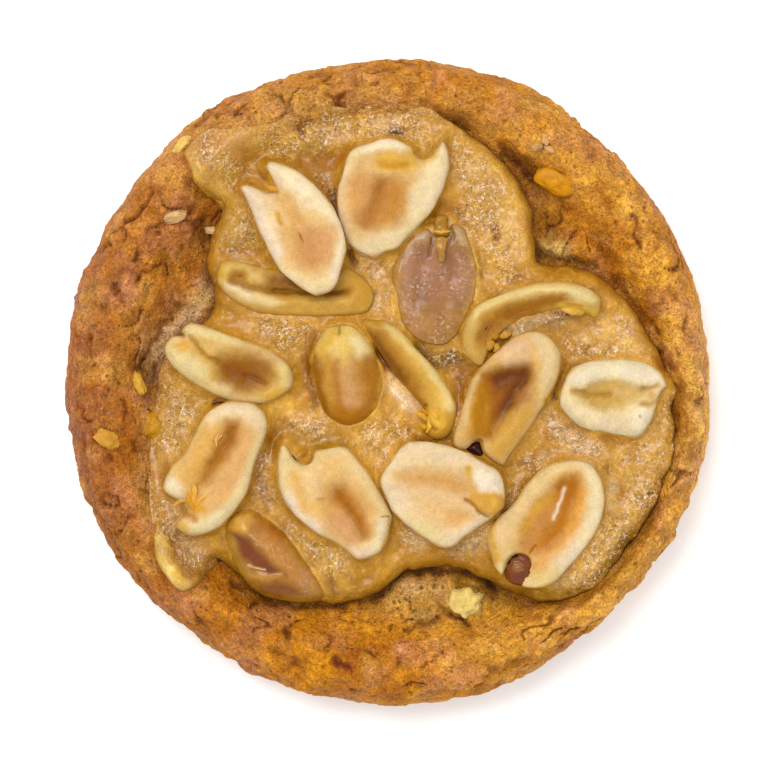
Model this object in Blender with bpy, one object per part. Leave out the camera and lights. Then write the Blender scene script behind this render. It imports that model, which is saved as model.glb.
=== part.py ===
"""A peanut praline cookie: a round baked dough case with a raised rim, a lobed layer of praline poured
into it, and fifteen roasted peanut halves sunk in the praline.

The origin is the middle of the flat underside, +Z is up, and +Y is the top of the cookie seen from above.
Every length is in millimetres until mesh_object() turns it into metres, and every angle is in degrees,
counted anticlockwise from +X.
"""

import math
from dataclasses import dataclass

import bpy
import numpy as np
from mathutils import Euler

MM = 0.001

# Clear space between the praline and each peanut half, and between the praline and the dough under it.
GAP = 0.4
BED_GAP = 0.55

# The dough case: its outer wall, its rim and the dished recess inside the rim. RECESS_EDGE is the recess's
# outline as (angle, radius) knots.
OUTER_RADIUS = 35.0
FOOT_RADIUS = 32.6
WIDEST_HEIGHT = 5.2
FLOOR_HEIGHT = 7.2
FLOOR_RISE = 2.2
RIM_HEIGHT = 13.0
RIM_HEIGHT_SWING = 0.5
RIM_HIGH_SIDE = 165
CREST_SHARE = 0.52
WALL_POWER = 2.15
OUTLINE_WAVES = ((2, 0.07, 215), (4, 0.09, 101), (5, 0.14, 138), (7, 0.12, 292), (8, 0.10, 223))
RECESS_EDGE = (
    (-20, 30.6), (0, 29.4), (20, 26.9), (40, 25.5), (68, 26.2), (100, 27.0), (125, 26.6),
    (150, 24.0), (180, 24.3), (200, 25.0), (225, 26.6), (255, 25.7), (280, 25.6), (298, 27.4),
    (316, 30.2),
)

# Baked lumps and dents over the rim and the wall, by a seeded draw. They fade out where the praline begins.
LUMP_SEED = 7
LUMP_COUNT = 700
LUMP_RADII = (23.0, 36.0)
LUMP_HEIGHTS = (2.0, 14.0)
LUMP_RISE = 0.65
LUMP_SPREADS = (1.2, 2.3)
LUMP_FADE = 1.5

# The praline: its general level, the film that lies where it has run over the rim, and its rounded edge.
# PRALINE_EDGE is its lobed outline as (angle, radius) knots.
PRALINE_LEVEL = 11.6
PRALINE_TILT = 0.35
PRALINE_TILT_TOWARDS = -20
PRALINE_FILM = 0.8
PRALINE_BLEND = 0.35
PRALINE_EDGE_WIDTH = 1.9
PRALINE_EDGE = (
    (-17, 32.4), (-11, 31.8), (-4, 30.9), (2, 30.4), (5.5, 28.8), (13, 28.0), (21, 26.5),
    (29, 25.0), (33, 22.6), (37, 20.8), (42, 21.6), (48, 23.4), (55, 25.7), (65, 27.3),
    (78, 28.7), (92, 30.2), (103, 31.6), (113, 32.8), (120, 32.9), (126, 32.0), (131, 30.2),
    (135.5, 27.9), (140, 25.8), (145, 23.9), (150, 21.9), (156, 19.0), (161, 20.6), (166, 23.7),
    (172, 25.2), (183, 25.5), (194, 25.6), (203, 27.6), (211, 29.6), (217, 30.7), (222, 30.7),
    (227, 29.5), (232, 28.2), (238, 27.4), (245, 26.6), (255, 24.7), (265, 23.4), (270, 21.6),
    (276, 20.3), (284, 20.6), (291, 22.4), (298, 25.2), (302, 27.6), (307, 29.9), (314, 31.4),
    (326, 31.6), (335, 31.4),
)

# Chopped peanut that lies on the dough, as (x, y, long, short, high, turn).
CHIP_SEED = 3
CHIPS = (
    (8.2, -23.9, 3.5, 3.2, 2.9, 20),
    (17.8, 21.7, 4.0, 2.6, 1.5, -20),
    (-26.8, -0.1, 2.5, 1.8, 1.3, 70),
    (-30.4, -6.1, 2.3, 1.8, 1.2, 150),
    (-23.1, 17.7, 2.2, 1.3, 0.9, 20),
    (-25.7, -4.5, 2.2, 1.6, 1.3, 100),
)
CHIP_JITTER = 0.14
CHIP_SUNK = 0.35

# The form that every peanut half shares: the hollow's half length and half width as shares of the nut's
# length and width, the powers that round the hollow, the shoulders and the back, and where a bend is centred.
HOLLOW_SHARES = (0.31, 0.27)
HOLLOW_POWERS = (3.0, 2.5)
SHOULDER_POWER = 6.0
BACK_POWERS = (2.5, 0.6)
BEND_CENTRE = 0.3


@dataclass
class Nut:
    """A peanut half. Its edge line is level with z, its round back is below that and its split face above it,
    or the other way up where back_up is set. turn is the way its germ end points, pitch raises the germ end
    and roll raises the side to the left of turn. Each bump is (angle from the germ end, spread, rise)."""

    x: float
    y: float
    z: float
    turn: float
    length: float
    width: float
    pitch: float = 0.0
    roll: float = 0.0
    back: float = 2.8
    shoulder: float = 0.7
    hollow: float = 1.0
    power: float = 2.1
    bend: float = 0.0
    bumps: tuple = ()
    back_up: bool = False
    part_buried: bool = False


NUTS = (
    Nut(-9.6, 16.2, 13.9, 121.7, 14.6, 8.2, pitch=-9, back=2.2, hollow=1.0,
        bumps=((22, 9, 1.8), (-10, 12, 1.2), (5, 8, -3.0), (-38, 20, 0.3), (62, 20, -0.35))),
    Nut(0.0, 19.4, 13.1, 70, 13.2, 10.2, pitch=2, roll=2, back=2.6, hollow=0.9, power=2.3,
        bumps=((53, 14, 0.9), (-24, 12, 1.9), (-6, 9, -0.9))),
    Nut(5.1, 10.2, 11.1, 91, 12.8, 8.7, back=2.7, shoulder=0.45, hollow=0.25,
        bumps=((0, 9, -1.4),)),
    Nut(-9.9, 9.9, 11.3, 172, 16.9, 5.9, back=2.5, shoulder=0.7, hollow=1.3, power=2.5),
    Nut(-17.0, 1.9, 12.3, 160.7, 13.8, 7.3, back=2.8, hollow=1.3,
        bumps=((-19, 8, 0.7), (-8, 6, -0.9), (150, 22, 0.6))),
    Nut(-4.8, 0.6, 10.2, 98, 11.8, 7.6, pitch=6, back=3.0, shoulder=0.3, hollow=0.2, back_up=True),
    Nut(2.25, 0.75, 11.3, -53, 14.8, 4.9, roll=42, back=2.3, hollow=1.4, part_buried=True),
    Nut(15.4, 6.9, 11.5, 17, 15.0, 7.3, roll=32, back=2.5, hollow=1.5, bend=-0.9, part_buried=True),
    Nut(13.1, -1.6, 12.8, 241.8, 15.2, 7.8, back=2.3, hollow=1.5,
        bumps=((-27, 10, 0.9), (17, 10, 0.6), (-4, 9, -1.5), (150, 15, 0.7))),
    Nut(24.2, -2.0, 12.7, 4, 11.6, 8.0, back=2.8, hollow=0.7, power=2.6,
        bumps=((21, 14, 0.5), (-12, 12, -0.7), (-56, 14, 0.3))),
    Nut(-18.4, -9.2, 13.1, 236.6, 15.0, 7.7, back=2.7, hollow=1.1,
        bumps=((8, 12, 0.3), (-13, 7, -1.4), (-32, 12, 0.8), (-75, 22, -0.3), (165, 14, 0.6),
               (137, 12, -0.5), (50, 20, 0.3))),
    Nut(-5.5, -13.2, 12.8, 125.4, 14.0, 8.6, back=2.8, hollow=1.0,
        bumps=((16, 10, 1.6), (0, 9, -1.7), (-42, 12, 0.9), (115, 18, -0.4), (215, 20, 0.4))),
    Nut(6.0, -12.2, 13.6, -7, 12.9, 10.3, back=2.7, hollow=0.6,
        bumps=((132, 16, 0.8), (-75, 16, 0.4), (20, 10, 0.4), (2, 7, -0.5), (-115, 20, -0.3))),
    Nut(17.3, -15.3, 12.7, 238.2, 15.2, 9.2, back=2.9, hollow=1.0,
        bumps=((-48, 16, 0.8), (148, 18, 0.6), (-90, 18, -0.4))),
    Nut(-11.9, -19.0, 10.2, 134, 12.6, 7.4, back=2.9, shoulder=0.3, hollow=0.2, back_up=True),
)

# Mesh fineness: steps round each piece, and the rings of each surface as shares of its own span.
STEPS = 96
EDGE_POINTS = 1440
NUT_STEPS = 24
NUT_FACE_RINGS = (0.4, 0.7, 0.9)
NUT_BACK_RINGS = (0.93, 0.7, 0.4)
NUT_CROWDING = 0.3
PRALINE_TOP_RINGS = (0.25, 0.5, 0.68, 0.79, 0.87, 0.94, 0.98)
PRALINE_UNDER_RINGS = (0.965, 0.925, 0.87, 0.81, 0.74, 0.4)
FLOOR_RINGS = (0.4, 0.75)
SLOPE_RINGS = (0.0, 0.25, 0.5, 0.75)
OVER_RIM_TURNS = (0, 20, 38, 54, 72)
UNDER_WALL_TURNS = (0, 30, 60)

# Looks of the finished cookie: linear RGB and roughness.
DOUGH_LOOK = ((0.46, 0.20, 0.05, 1.0), 0.75)
PRALINE_LOOK = ((0.50, 0.28, 0.09, 1.0), 0.4)
NUT_LOOK = ((0.78, 0.57, 0.30, 1.0), 0.5)
COATED_NUT_LOOK = ((0.42, 0.20, 0.07, 1.0), 0.45)


def clear_scene():
    for obj in list(bpy.data.objects):
        bpy.data.objects.remove(obj)


def steps_round(count):
    return np.radians(360.0 / count * np.arange(count))


def bell(angles, centre, spread):
    """A bell curve of the angle, 1 at its centre, with both given in degrees."""
    off = (angles - math.radians(centre) + math.pi) % (2 * math.pi) - math.pi
    return np.exp(-((off / math.radians(spread)) ** 2))


def through(knots, angles):
    """The radius of a closed outline at each angle: cubic pieces through the (degrees, radius) knots."""
    at = np.radians([knot[0] for knot in knots])
    radius = np.array([knot[1] for knot in knots])
    at = np.concatenate([at - 2 * math.pi, at, at + 2 * math.pi])
    radius = np.tile(radius, 3)
    slope = np.gradient(radius, at)
    angles = (np.asarray(angles) + math.pi) % (2 * math.pi) - math.pi
    i = np.searchsorted(at, angles, side="right") - 1
    span = at[i + 1] - at[i]
    t = (angles - at[i]) / span
    start = (1 + 2 * t) * (1 - t) ** 2 * radius[i] + t * (1 - t) ** 2 * span * slope[i]
    end = t**2 * (3 - 2 * t) * radius[i + 1] + t**2 * (t - 1) * span * slope[i + 1]
    return start + end


def outer_radius(angles):
    """The cookie's edge seen from above: a circle with a few shallow waves."""
    radius = np.full_like(angles, OUTER_RADIUS)
    for count, rise, phase in OUTLINE_WAVES:
        radius = radius + rise * np.sin(count * angles + math.radians(phase))
    return radius


def crest_radius(angles):
    foot = through(RECESS_EDGE, angles)
    return foot + CREST_SHARE * (outer_radius(angles) - foot)


def crest_height(angles):
    return RIM_HEIGHT + RIM_HEIGHT_SWING * np.cos(angles - math.radians(RIM_HIGH_SIDE))


def lumps(radius, angles, height):
    """How far the baked lumps and dents push the bare dough outwards: ball-shaped bells of either sign."""
    draw = np.random.default_rng(LUMP_SEED)
    turn = draw.uniform(0, 2 * math.pi, LUMP_COUNT)
    out = draw.uniform(*LUMP_RADII, LUMP_COUNT)
    up = draw.uniform(*LUMP_HEIGHTS, LUMP_COUNT)
    rise = draw.uniform(-LUMP_RISE, LUMP_RISE, LUMP_COUNT)
    spread = draw.uniform(*LUMP_SPREADS, LUMP_COUNT)
    bare = np.clip((radius - through(PRALINE_EDGE, angles)) / LUMP_FADE, 0, 1)
    dx = np.asarray(radius * np.cos(angles))[..., None] - out * np.cos(turn)
    dy = np.asarray(radius * np.sin(angles))[..., None] - out * np.sin(turn)
    dz = np.asarray(height)[..., None] - up
    return bare * (rise * np.exp(-(dx**2 + dy**2 + dz**2) / spread**2)).sum(axis=-1)


def dough_height(radius, angles):
    """Top of the dough over a point: the dished floor, an S-shaped slope to the crest, then the shoulder."""
    foot, crest, outer = through(RECESS_EDGE, angles), crest_radius(angles), outer_radius(angles)
    high = crest_height(angles)
    rise = np.clip((radius - foot) / (crest - foot), 0, 1)
    floor = FLOOR_HEIGHT + FLOOR_RISE * np.clip(radius / foot, 0, 1) ** 2
    inner = floor + (high - floor) * rise**2 * (3 - 2 * rise)
    past = np.clip((radius - crest) / (outer - crest), 0, 1)
    shoulder = WIDEST_HEIGHT + (high - WIDEST_HEIGHT) * (1 - past**WALL_POWER) ** (1 / WALL_POWER)
    return np.where(radius < crest, inner, shoulder)


def mesh_object(name, vertices, faces, look):
    """A mesh object from millimetre points, smooth shaded, with its own material."""
    colour, roughness = look
    mesh = bpy.data.meshes.new(name)
    mesh.from_pydata((np.asarray(vertices) * MM).tolist(), [], faces)
    mesh.validate()
    mesh.shade_smooth()
    obj = bpy.data.objects.new(name, mesh)
    bpy.context.scene.collection.objects.link(obj)
    material = bpy.data.materials.new(name)
    material.use_nodes = True
    shader = material.node_tree.nodes["Principled BSDF"]
    shader.inputs["Base Color"].default_value = colour
    shader.inputs["Roughness"].default_value = roughness
    shader.inputs["Metallic"].default_value = 0.0
    mesh.materials.append(material)
    return obj


def ringed_faces(ring_count, steps):
    """Faces of a closed body made of a top pole, rings of vertices from top to bottom, and a bottom pole."""
    bottom = 1 + ring_count * steps
    faces = []
    for i in range(steps):
        j = (i + 1) % steps
        faces.append((0, 1 + i, 1 + j))
        faces.append((bottom, bottom - steps + j, bottom - steps + i))
        for ring in range(ring_count - 1):
            upper, lower = 1 + ring * steps, 1 + (ring + 1) * steps
            faces.append((upper + i, lower + i, lower + j, upper + j))
    return faces


def ringed_vertices(top, rings, bottom):
    """Vertices in the order that ringed_faces expects. Each ring is three arrays, x, y and z."""
    rows = [np.array([top])]
    rows += [np.stack([x, y, np.broadcast_to(z, x.shape)], axis=-1) for x, y, z in rings]
    rows.append(np.array([bottom]))
    return np.concatenate(rows)


def lumpy_ring(radius, angles, height, turn):
    """A ring of the dough's skin, pushed by the lumps along a line leaning outwards by turn from upright."""
    push = lumps(radius, angles, height)
    radius = radius + push * math.sin(math.radians(turn))
    height = height + push * math.cos(math.radians(turn))
    return radius * np.cos(angles), radius * np.sin(angles), height


def dough_case():
    """The dough: floor, slope and shoulder from dough_height, then the wall curving in to the flat base."""
    angles = steps_round(STEPS)
    foot, crest, outer = through(RECESS_EDGE, angles), crest_radius(angles), outer_radius(angles)
    radii = [(share * foot, 0) for share in FLOOR_RINGS]
    radii += [(foot + share * (crest - foot), 0) for share in SLOPE_RINGS]
    for turn in OVER_RIM_TURNS:
        radii.append((crest + math.sin(math.radians(turn)) ** (2 / WALL_POWER) * (outer - crest), turn))
    rings = [lumpy_ring(radius, angles, dough_height(radius, angles), turn) for radius, turn in radii]
    for turn in UNDER_WALL_TURNS:
        out = math.cos(math.radians(turn)) ** (2 / WALL_POWER)
        down = math.sin(math.radians(turn)) ** (2 / WALL_POWER)
        radius = FOOT_RADIUS + (outer - FOOT_RADIUS) * out
        rings.append(lumpy_ring(radius, angles, WIDEST_HEIGHT * (1 - down), 90))
    rings.append((FOOT_RADIUS * np.cos(angles), FOOT_RADIUS * np.sin(angles), 0.0))
    vertices = ringed_vertices((0, 0, FLOOR_HEIGHT), rings, (0, 0, 0))
    faces = ringed_faces(len(rings), STEPS)
    return mesh_object("dough_case", vertices, faces, DOUGH_LOOK)


def chip(index, draw):
    """One bit of chopped peanut: a twenty-sided ball, squashed, with its corners pushed in or out."""
    x, y, length, width, height, turn = CHIPS[index]
    bpy.ops.mesh.primitive_ico_sphere_add(subdivisions=1, radius=0.5)
    obj = bpy.context.object
    obj.name = f"chip_{index + 1:02d}"
    push = 1 + draw.uniform(-CHIP_JITTER, CHIP_JITTER, len(obj.data.vertices))
    across, radius, angle = np.array([length, width]), math.hypot(x, y), math.atan2(y, x)
    high = dough_height(radius, angle)
    high += lumps(radius, angle, high)
    c, s = math.cos(math.radians(turn)), math.sin(math.radians(turn))
    for vertex, factor in zip(obj.data.vertices, push):
        u, v = np.array(vertex.co.xy) * across * factor
        w = vertex.co.z * height * factor + high + height * (0.5 - CHIP_SUNK)
        vertex.co = (MM * (x + u * c - v * s), MM * (y + u * s + v * c), MM * w)
    return obj


def fuse(obj, extras, name):
    """Joins extras to obj by one Boolean union on their collection, which is applied, and removes them."""
    group = bpy.data.collections.new(name)
    bpy.context.scene.collection.children.link(group)
    for extra in extras:
        for holder in list(extra.users_collection):
            holder.objects.unlink(extra)
        group.objects.link(extra)
    union = obj.modifiers.new(name, "BOOLEAN")
    union.operation = "UNION"
    union.operand_type = "COLLECTION"
    union.collection = group
    union.solver = "EXACT"
    bpy.context.view_layer.objects.active = obj
    bpy.ops.object.modifier_apply(modifier=union.name)
    for extra in extras:
        bpy.data.objects.remove(extra)
    bpy.data.collections.remove(group)


def edge_distance(x, y):
    """Distance of each point from the praline's outline, taken to the nearest of many points along it."""
    turn = steps_round(EDGE_POINTS)
    radius = through(PRALINE_EDGE, turn)
    along_x, along_y = radius * np.cos(turn), radius * np.sin(turn)
    return np.sqrt((x[:, None] - along_x) ** 2 + (y[:, None] - along_y) ** 2).min(axis=1)


def praline_height(x, y):
    """Top of the praline: its gently tilted level, or a film over the dough where that is higher, brought
    down to the dough in a quarter round along the outline."""
    angles, radius = np.arctan2(y, x), np.hypot(x, y)
    towards = math.radians(PRALINE_TILT_TOWARDS)
    lean = (x * math.cos(towards) + y * math.sin(towards)) / OUTER_RADIUS
    level = PRALINE_LEVEL + PRALINE_TILT * lean
    dough = dough_height(radius, angles)
    film = dough + BED_GAP + PRALINE_FILM
    top = film + PRALINE_BLEND * np.logaddexp(0, (level - film) / PRALINE_BLEND)
    inward = np.clip(edge_distance(x, y) / PRALINE_EDGE_WIDTH, 0, 1)
    return dough + BED_GAP + (top - dough - BED_GAP) * np.sqrt(1 - (1 - inward) ** 2)


def praline_layer():
    """The praline before the nuts: its top from praline_height, its underside a gap above the dough."""
    angles = steps_round(STEPS)
    edge = through(PRALINE_EDGE, angles)
    rings = []
    for share in PRALINE_TOP_RINGS:
        x, y = share * edge * np.cos(angles), share * edge * np.sin(angles)
        rings.append((x, y, praline_height(x, y)))
    for share in (1.0, *PRALINE_UNDER_RINGS):
        x, y = share * edge * np.cos(angles), share * edge * np.sin(angles)
        rings.append((x, y, dough_height(share * edge, angles) + BED_GAP))
    vertices = ringed_vertices((0, 0, PRALINE_LEVEL), rings, (0, 0, FLOOR_HEIGHT + BED_GAP))
    faces = ringed_faces(len(rings), STEPS)
    return mesh_object("praline", vertices, faces, PRALINE_LOOK)


def nut_angles():
    """Angles round a nut from its germ end, closer together there so that the notch keeps its shape."""
    even = steps_round(NUT_STEPS)
    return even - NUT_CROWDING * np.sin(even)


def nut_edge(nut, angles, grow=0.0):
    """Radius of the nut's edge line: a rounded oval of its length and width, with a bell for each bump."""
    long, short = nut.length / 2, nut.width / 2
    along, across = np.abs(np.cos(angles) / long), np.abs(np.sin(angles) / short)
    radius = (along**nut.power + across**nut.power) ** (-1 / nut.power)
    for at, spread, rise in nut.bumps:
        radius = radius + rise * bell(angles, at, spread)
    return radius + grow


def nut_face(nut, share, u, v):
    """Height of the split face over the edge line: rounded shoulders round a long hollow."""
    along = np.abs(u / (HOLLOW_SHARES[0] * nut.length)) ** HOLLOW_POWERS[0]
    across = np.abs(v / (HOLLOW_SHARES[1] * nut.width)) ** HOLLOW_POWERS[1]
    return nut.shoulder * math.sqrt(1 - share**SHOULDER_POWER) - nut.hollow * np.exp(-along - across)


def nut_back(nut, share, grow=0.0):
    """Height of the round back under the edge line."""
    return -(nut.back + grow) * (1 - share ** BACK_POWERS[0]) ** BACK_POWERS[1]


def place(nut, vertices):
    """Bends the nut, turns it over where its back is up, tips it and carries it to its place."""
    u, v, w = vertices.T
    v = v + nut.bend * ((2 * u / nut.length) ** 2 - BEND_CENTRE)
    local = np.stack([u, v, w], axis=-1)
    if nut.back_up:
        local = local * np.array([1, -1, -1])
    tip = Euler((math.radians(nut.roll), -math.radians(nut.pitch), math.radians(nut.turn)), "XYZ")
    return local @ np.array(tip.to_matrix()).T + np.array([nut.x, nut.y, nut.z])


def nut_half(nut, name):
    """One peanut half: rings over the split face, the edge line, and rings over the round back."""
    angles = nut_angles()
    edge = nut_edge(nut, angles)
    rings = []
    for share in NUT_FACE_RINGS:
        u, v = share * edge * np.cos(angles), share * edge * np.sin(angles)
        rings.append((u, v, nut_face(nut, share, u, v)))
    rings.append((edge * np.cos(angles), edge * np.sin(angles), 0.0))
    for share in NUT_BACK_RINGS:
        rings.append((share * edge * np.cos(angles), share * edge * np.sin(angles), nut_back(nut, share)))
    local = ringed_vertices((0, 0, nut.shoulder - nut.hollow), rings, (0, 0, -nut.back))
    look = COATED_NUT_LOOK if nut.back_up else NUT_LOOK
    return mesh_object(name, place(nut, local), ringed_faces(len(rings), NUT_STEPS), look)


def nut_cutter(nut, name):
    """The nut's place in the praline: its own form grown by the gap, its hollow filled. An open nut's goes on
    up above the praline, so that nothing is left over the split face."""
    angles = nut_angles()
    edge = nut_edge(nut, angles, GAP)
    rim = (edge * np.cos(angles), edge * np.sin(angles))
    closed = nut.part_buried or nut.back_up
    lid = nut.shoulder + GAP + (0 if closed else nut.back)
    top = NUT_FACE_RINGS[-1] if closed else 1.0
    rings = [(top * rim[0], top * rim[1], lid), (rim[0], rim[1], 0.0)]
    for share in NUT_BACK_RINGS:
        rings.append((share * rim[0], share * rim[1], nut_back(nut, share, GAP)))
    local = ringed_vertices((0, 0, lid), rings, (0, 0, -nut.back - GAP))
    obj = mesh_object(name, place(nut, local), ringed_faces(len(rings), NUT_STEPS), NUT_LOOK)
    obj.hide_render = True
    obj.display_type = "WIRE"
    return obj


def cut(obj, cutter):
    difference = obj.modifiers.new(cutter.name, "BOOLEAN")
    difference.operation = "DIFFERENCE"
    difference.object = cutter
    difference.solver = "EXACT"


def main():
    clear_scene()
    case = dough_case()
    draw = np.random.default_rng(CHIP_SEED)
    fuse(case, [chip(index, draw) for index in range(len(CHIPS))], "chips")
    praline = praline_layer()
    for number, nut in enumerate(NUTS, start=1):
        nut_half(nut, f"peanut_half_{number:02d}")
        cut(praline, nut_cutter(nut, f"place_of_nut_{number:02d}"))


main()
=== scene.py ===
import math
from dataclasses import dataclass

import bpy
import numpy as np
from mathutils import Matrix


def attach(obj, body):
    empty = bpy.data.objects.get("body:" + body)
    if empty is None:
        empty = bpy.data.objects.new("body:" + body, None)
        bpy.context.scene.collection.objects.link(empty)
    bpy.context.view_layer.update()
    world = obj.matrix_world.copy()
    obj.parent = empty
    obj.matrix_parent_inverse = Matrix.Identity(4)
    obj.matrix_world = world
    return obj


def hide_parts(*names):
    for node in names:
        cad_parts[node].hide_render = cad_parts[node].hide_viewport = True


# The look of a round peanut praline cookie: a baked dough case, praline poured into it, and peanut halves.
# +Y is the top of the cookie seen from above and the underside is at z = 0. Lengths are in millimetres
# until build() turns them into metres, and angles are in degrees anticlockwise from +X.
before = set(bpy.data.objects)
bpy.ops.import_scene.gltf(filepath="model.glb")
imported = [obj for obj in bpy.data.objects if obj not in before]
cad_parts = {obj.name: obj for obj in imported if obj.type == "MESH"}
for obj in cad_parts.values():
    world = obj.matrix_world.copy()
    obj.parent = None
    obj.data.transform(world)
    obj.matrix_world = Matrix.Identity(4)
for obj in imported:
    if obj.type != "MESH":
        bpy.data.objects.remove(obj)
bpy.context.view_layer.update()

MM = 0.001

# How far out distances are worked out, in mm, and the number that stands for further than that.
REACH = 9.0
FAR = 99.0

# Where noise of each seed starts, and the size of the noise that bends patterns, in mm. Seeds only have to
# differ.
NOISE_SEED_STEP = 31.7
CELLS_SEED_STEP = 17.3
STIR_SIZE = 1.3

# The dough case: outer wall, rim and dished recess. OUTLINE_WAVES are (waves round, rise, phase), and
# RECESS_EDGE is the recess's outline as (angle, radius).
OUTER_RADIUS = 35.0
FOOT_RADIUS = 32.6
WIDEST_HEIGHT = 5.2
FLOOR_HEIGHT = 7.2
FLOOR_RISE = 2.2
RIM_HEIGHT = 13.0
RIM_HEIGHT_SWING = 0.5
RIM_HIGH_SIDE = 165
CREST_SHARE = 0.52
WALL_POWER = 2.15
OUTLINE_WAVES = ((2, 0.07, 215), (4, 0.09, 101), (5, 0.14, 138), (7, 0.12, 292), (8, 0.10, 223))
RECESS_EDGE = (
    (-20, 30.6), (0, 29.4), (20, 26.9), (40, 25.5), (68, 26.2), (100, 27), (125, 26.6), (150, 24),
    (180, 24.3), (200, 25), (225, 26.6), (255, 25.7), (280, 25.6), (298, 27.4), (316, 30.2),
)

# Baked lumps and dents, scattered over the rim and the wall by a seeded draw.
LUMP_SEED = 7
LUMP_COUNT = 700
LUMP_RADII = (23.0, 36.0)
LUMP_HEIGHTS = (2.0, 14.0)
LUMP_RISE = 0.65
LUMP_SPREADS = (1.2, 2.3)
LUMP_SHARE = 0.8

# The dough's relief, in mm. Crags are noise as (height, size, seed). Crumbs and pits are round scattered
# points, whose widths are in shares of their spacing. BARE_WIDTH is how softly it all fades out under the
# praline, and UNDER_PRALINE is how much lower the dough lies there.
COARSE_CRAGS = ((0.34, 2.4, 13), (0.24, 1.1, 14))
FINE_CRAGS = (0.16, 0.55, 15)
CRUMB_HEIGHT = 0.55
CRUMB_SPACING = 1.5
CRUMB_WIDTH = 0.45
CRACK_DEPTH = 0.55
CRACK_WIDTH = 0.045
PIT_DEPTH = 0.45
PIT_SPACING = 1.7
PIT_WIDTH = 0.13
BARE_WIDTH = 1.6
UNDER_PRALINE = 0.35

# The praline's level, its film over the rim, its rounded edge, and where it thins out into the dough.
PRALINE_LEVEL = 11.6
PRALINE_TILT = 0.35
PRALINE_TILT_TOWARDS = -20
PRALINE_FILM = 0.95
PRALINE_BLEND = 0.35
PRALINE_EDGE_WIDTH = 1.5
THIN_SPREAD = 3.5
THIN_PATHS = (
    ((-18.0, 27.5), (-12.0, 29.0), (-4.0, 30.0), (2.0, 30.0)),
    ((-25.2, 1.0), (-26.0, -4.0), (-26.2, -10.0), (-26.0, -14.0)),
)

# The praline's swells as (height, size, seed), and the lumps that the froth stands in.
PRALINE_SWELLS = ((0.24, 4.2, 21), (0.20, 1.9, 22), (0.13, 0.85, 23))
FROTH_HEIGHT = 0.30
FROTH_SPACING = 1.3

# Where the praline meets a nut, in mm: how wide the brown pool round it is, partly deeper praline and partly
# painted shade, how high the praline climbs at most, over what distance that falls off outside and inside
# the nut's outline, how far inside it the praline drops, how steeply and how deep, and the dip beside the
# nut.
POOL_AND_SHADE_WIDTH = 0.5
CLIMB_LIMIT = 1.8
CLIMB_FALL = 0.45
CLIMB_FALL_INSIDE = 0.5
DROP_FROM = 0.3
DROP_SLOPE = 2.0
DROP_DEPTH = 1.6
DIP_DEPTH = 0.10
DIP_DISTANCE = 1.3
DIP_WIDTH = 0.7

# How finely each piece is made: steps round it, and rings from its middle to its edge. A nut's and the
# praline's rings are (even ones, the share of the rim, fine ones over the rim), then those underneath. A
# chip has flat faces, and its middle stands above the dough by a share of its height.
CRUST_STEPS = 700
FLOOR_SHARES = (0.0, 0.3, 0.55)
FLOOR_FINE_FROM = 0.64
FLOOR_RINGS = 34
SLOPE_RINGS = 31
SHOULDER_RINGS = 44
WALL_RINGS = 20
BASE_SHARES = (1.0, 0.7, 0.0)
PRALINE_STEPS = 660
PRALINE_RINGS = (104, 0.1, 26)
PRALINE_UNDER = (0.985, 0.96, 0.9, 0.6, 0.0)
NUT_STEPS = 200
NUT_RINGS = (40, 0.16, 20)
NUT_UNDER = (0.985, 0.95, 0.88, 0.75, 0.5, 0.0)
SPINE_STEPS = 200
CALM_WAVES = 5.0
CHIP_STEPS = 44
CHIP_RINGS = 26
CHIP_FACES = 15
CHIP_STANDING = 0.15
STALK_STEPS = 24
STALK_RINGS = 26

# Steps along a curve between two of its points, and round the outlines that distances are measured from:
# the praline's, a nut's from the praline and a nut's from its own face, each nut with its reach in mm.
SPLINE_STEPS = 12
OUTLINE_STEPS = 400
NUT_OUTLINE_STEPS = 90
NUT_REACH = 6
FACE_OUTLINE_STEPS = 100
FACE_REACH = 12

# The light, in metres and watts, the floor and the camera, which stands straight above at the distance from
# which SEEN_WIDTH fills its frame at SEEN_HEIGHT.
SKY = 1.15
LAMP_SIZE = 0.5
LAMP_POWER = 5.2
LAMP_PLACE = (-0.20, 0.30, 0.82)
FLOOR_COLOUR = "FCFCFC"
FLOOR_REACH = 3.0
FLOOR_DROP = 0.0001
LENS = 250
SENSOR = 36
SEEN_WIDTH = 0.08325
SEEN_HEIGHT = 0.009
EYE_PLACE = (-0.000434, -0.000325)

# How much the paints, given as they look, are dimmed for the light and for the sheen on them.
PAINT_SHEEN = 0.008
DARKEST_PAINT = 0.002
PAINT_GAIN = {
    "baked_dough": (0.69, 0.655, 0.51),
    "praline": (0.655, 0.605, 0.44),
    "roasted_peanut": (0.605, 0.555, 0.46),
    "peanut_skin": (0.57, 0.54, 0.40),
}

# How far each pattern of a material is moved (in metres) and turned from the last one, how rough its noise
# is, the spans that most of the noise lies in, how softly flecks and pores end at a bare area, and a colour
# Mix node's sockets by number: its inputs A and B, and its result.
PATTERN_STEP = (0.37, 0.21, 0.13)
PATTERN_TURN = 0.7
PATTERN_ROUGHNESS = 0.6
GRAIN_SPAN = (0.32, 0.68)
TINT_SPAN = (0.36, 0.64)
BARE_SPAN = (-0.03, 0.05)
MIX_A = 6
MIX_B = 7
MIX_RESULT = 2


@dataclass
class Patch:
    """A soft-edged area of a surface: its colour, how soft its edge is in mm, how strongly the colour covers,
    how far it stands up (or sinks) in mm, and its outline."""

    colour: str
    soft: float
    strength: float
    rise: float
    points: tuple

    def weight(self, x, y):
        """Half along the outline, and a smoothstep of the distance from it across the soft edge."""
        return smooth(signed_distance(self.points, x, y, self.soft) / self.soft + 0.5)


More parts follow.
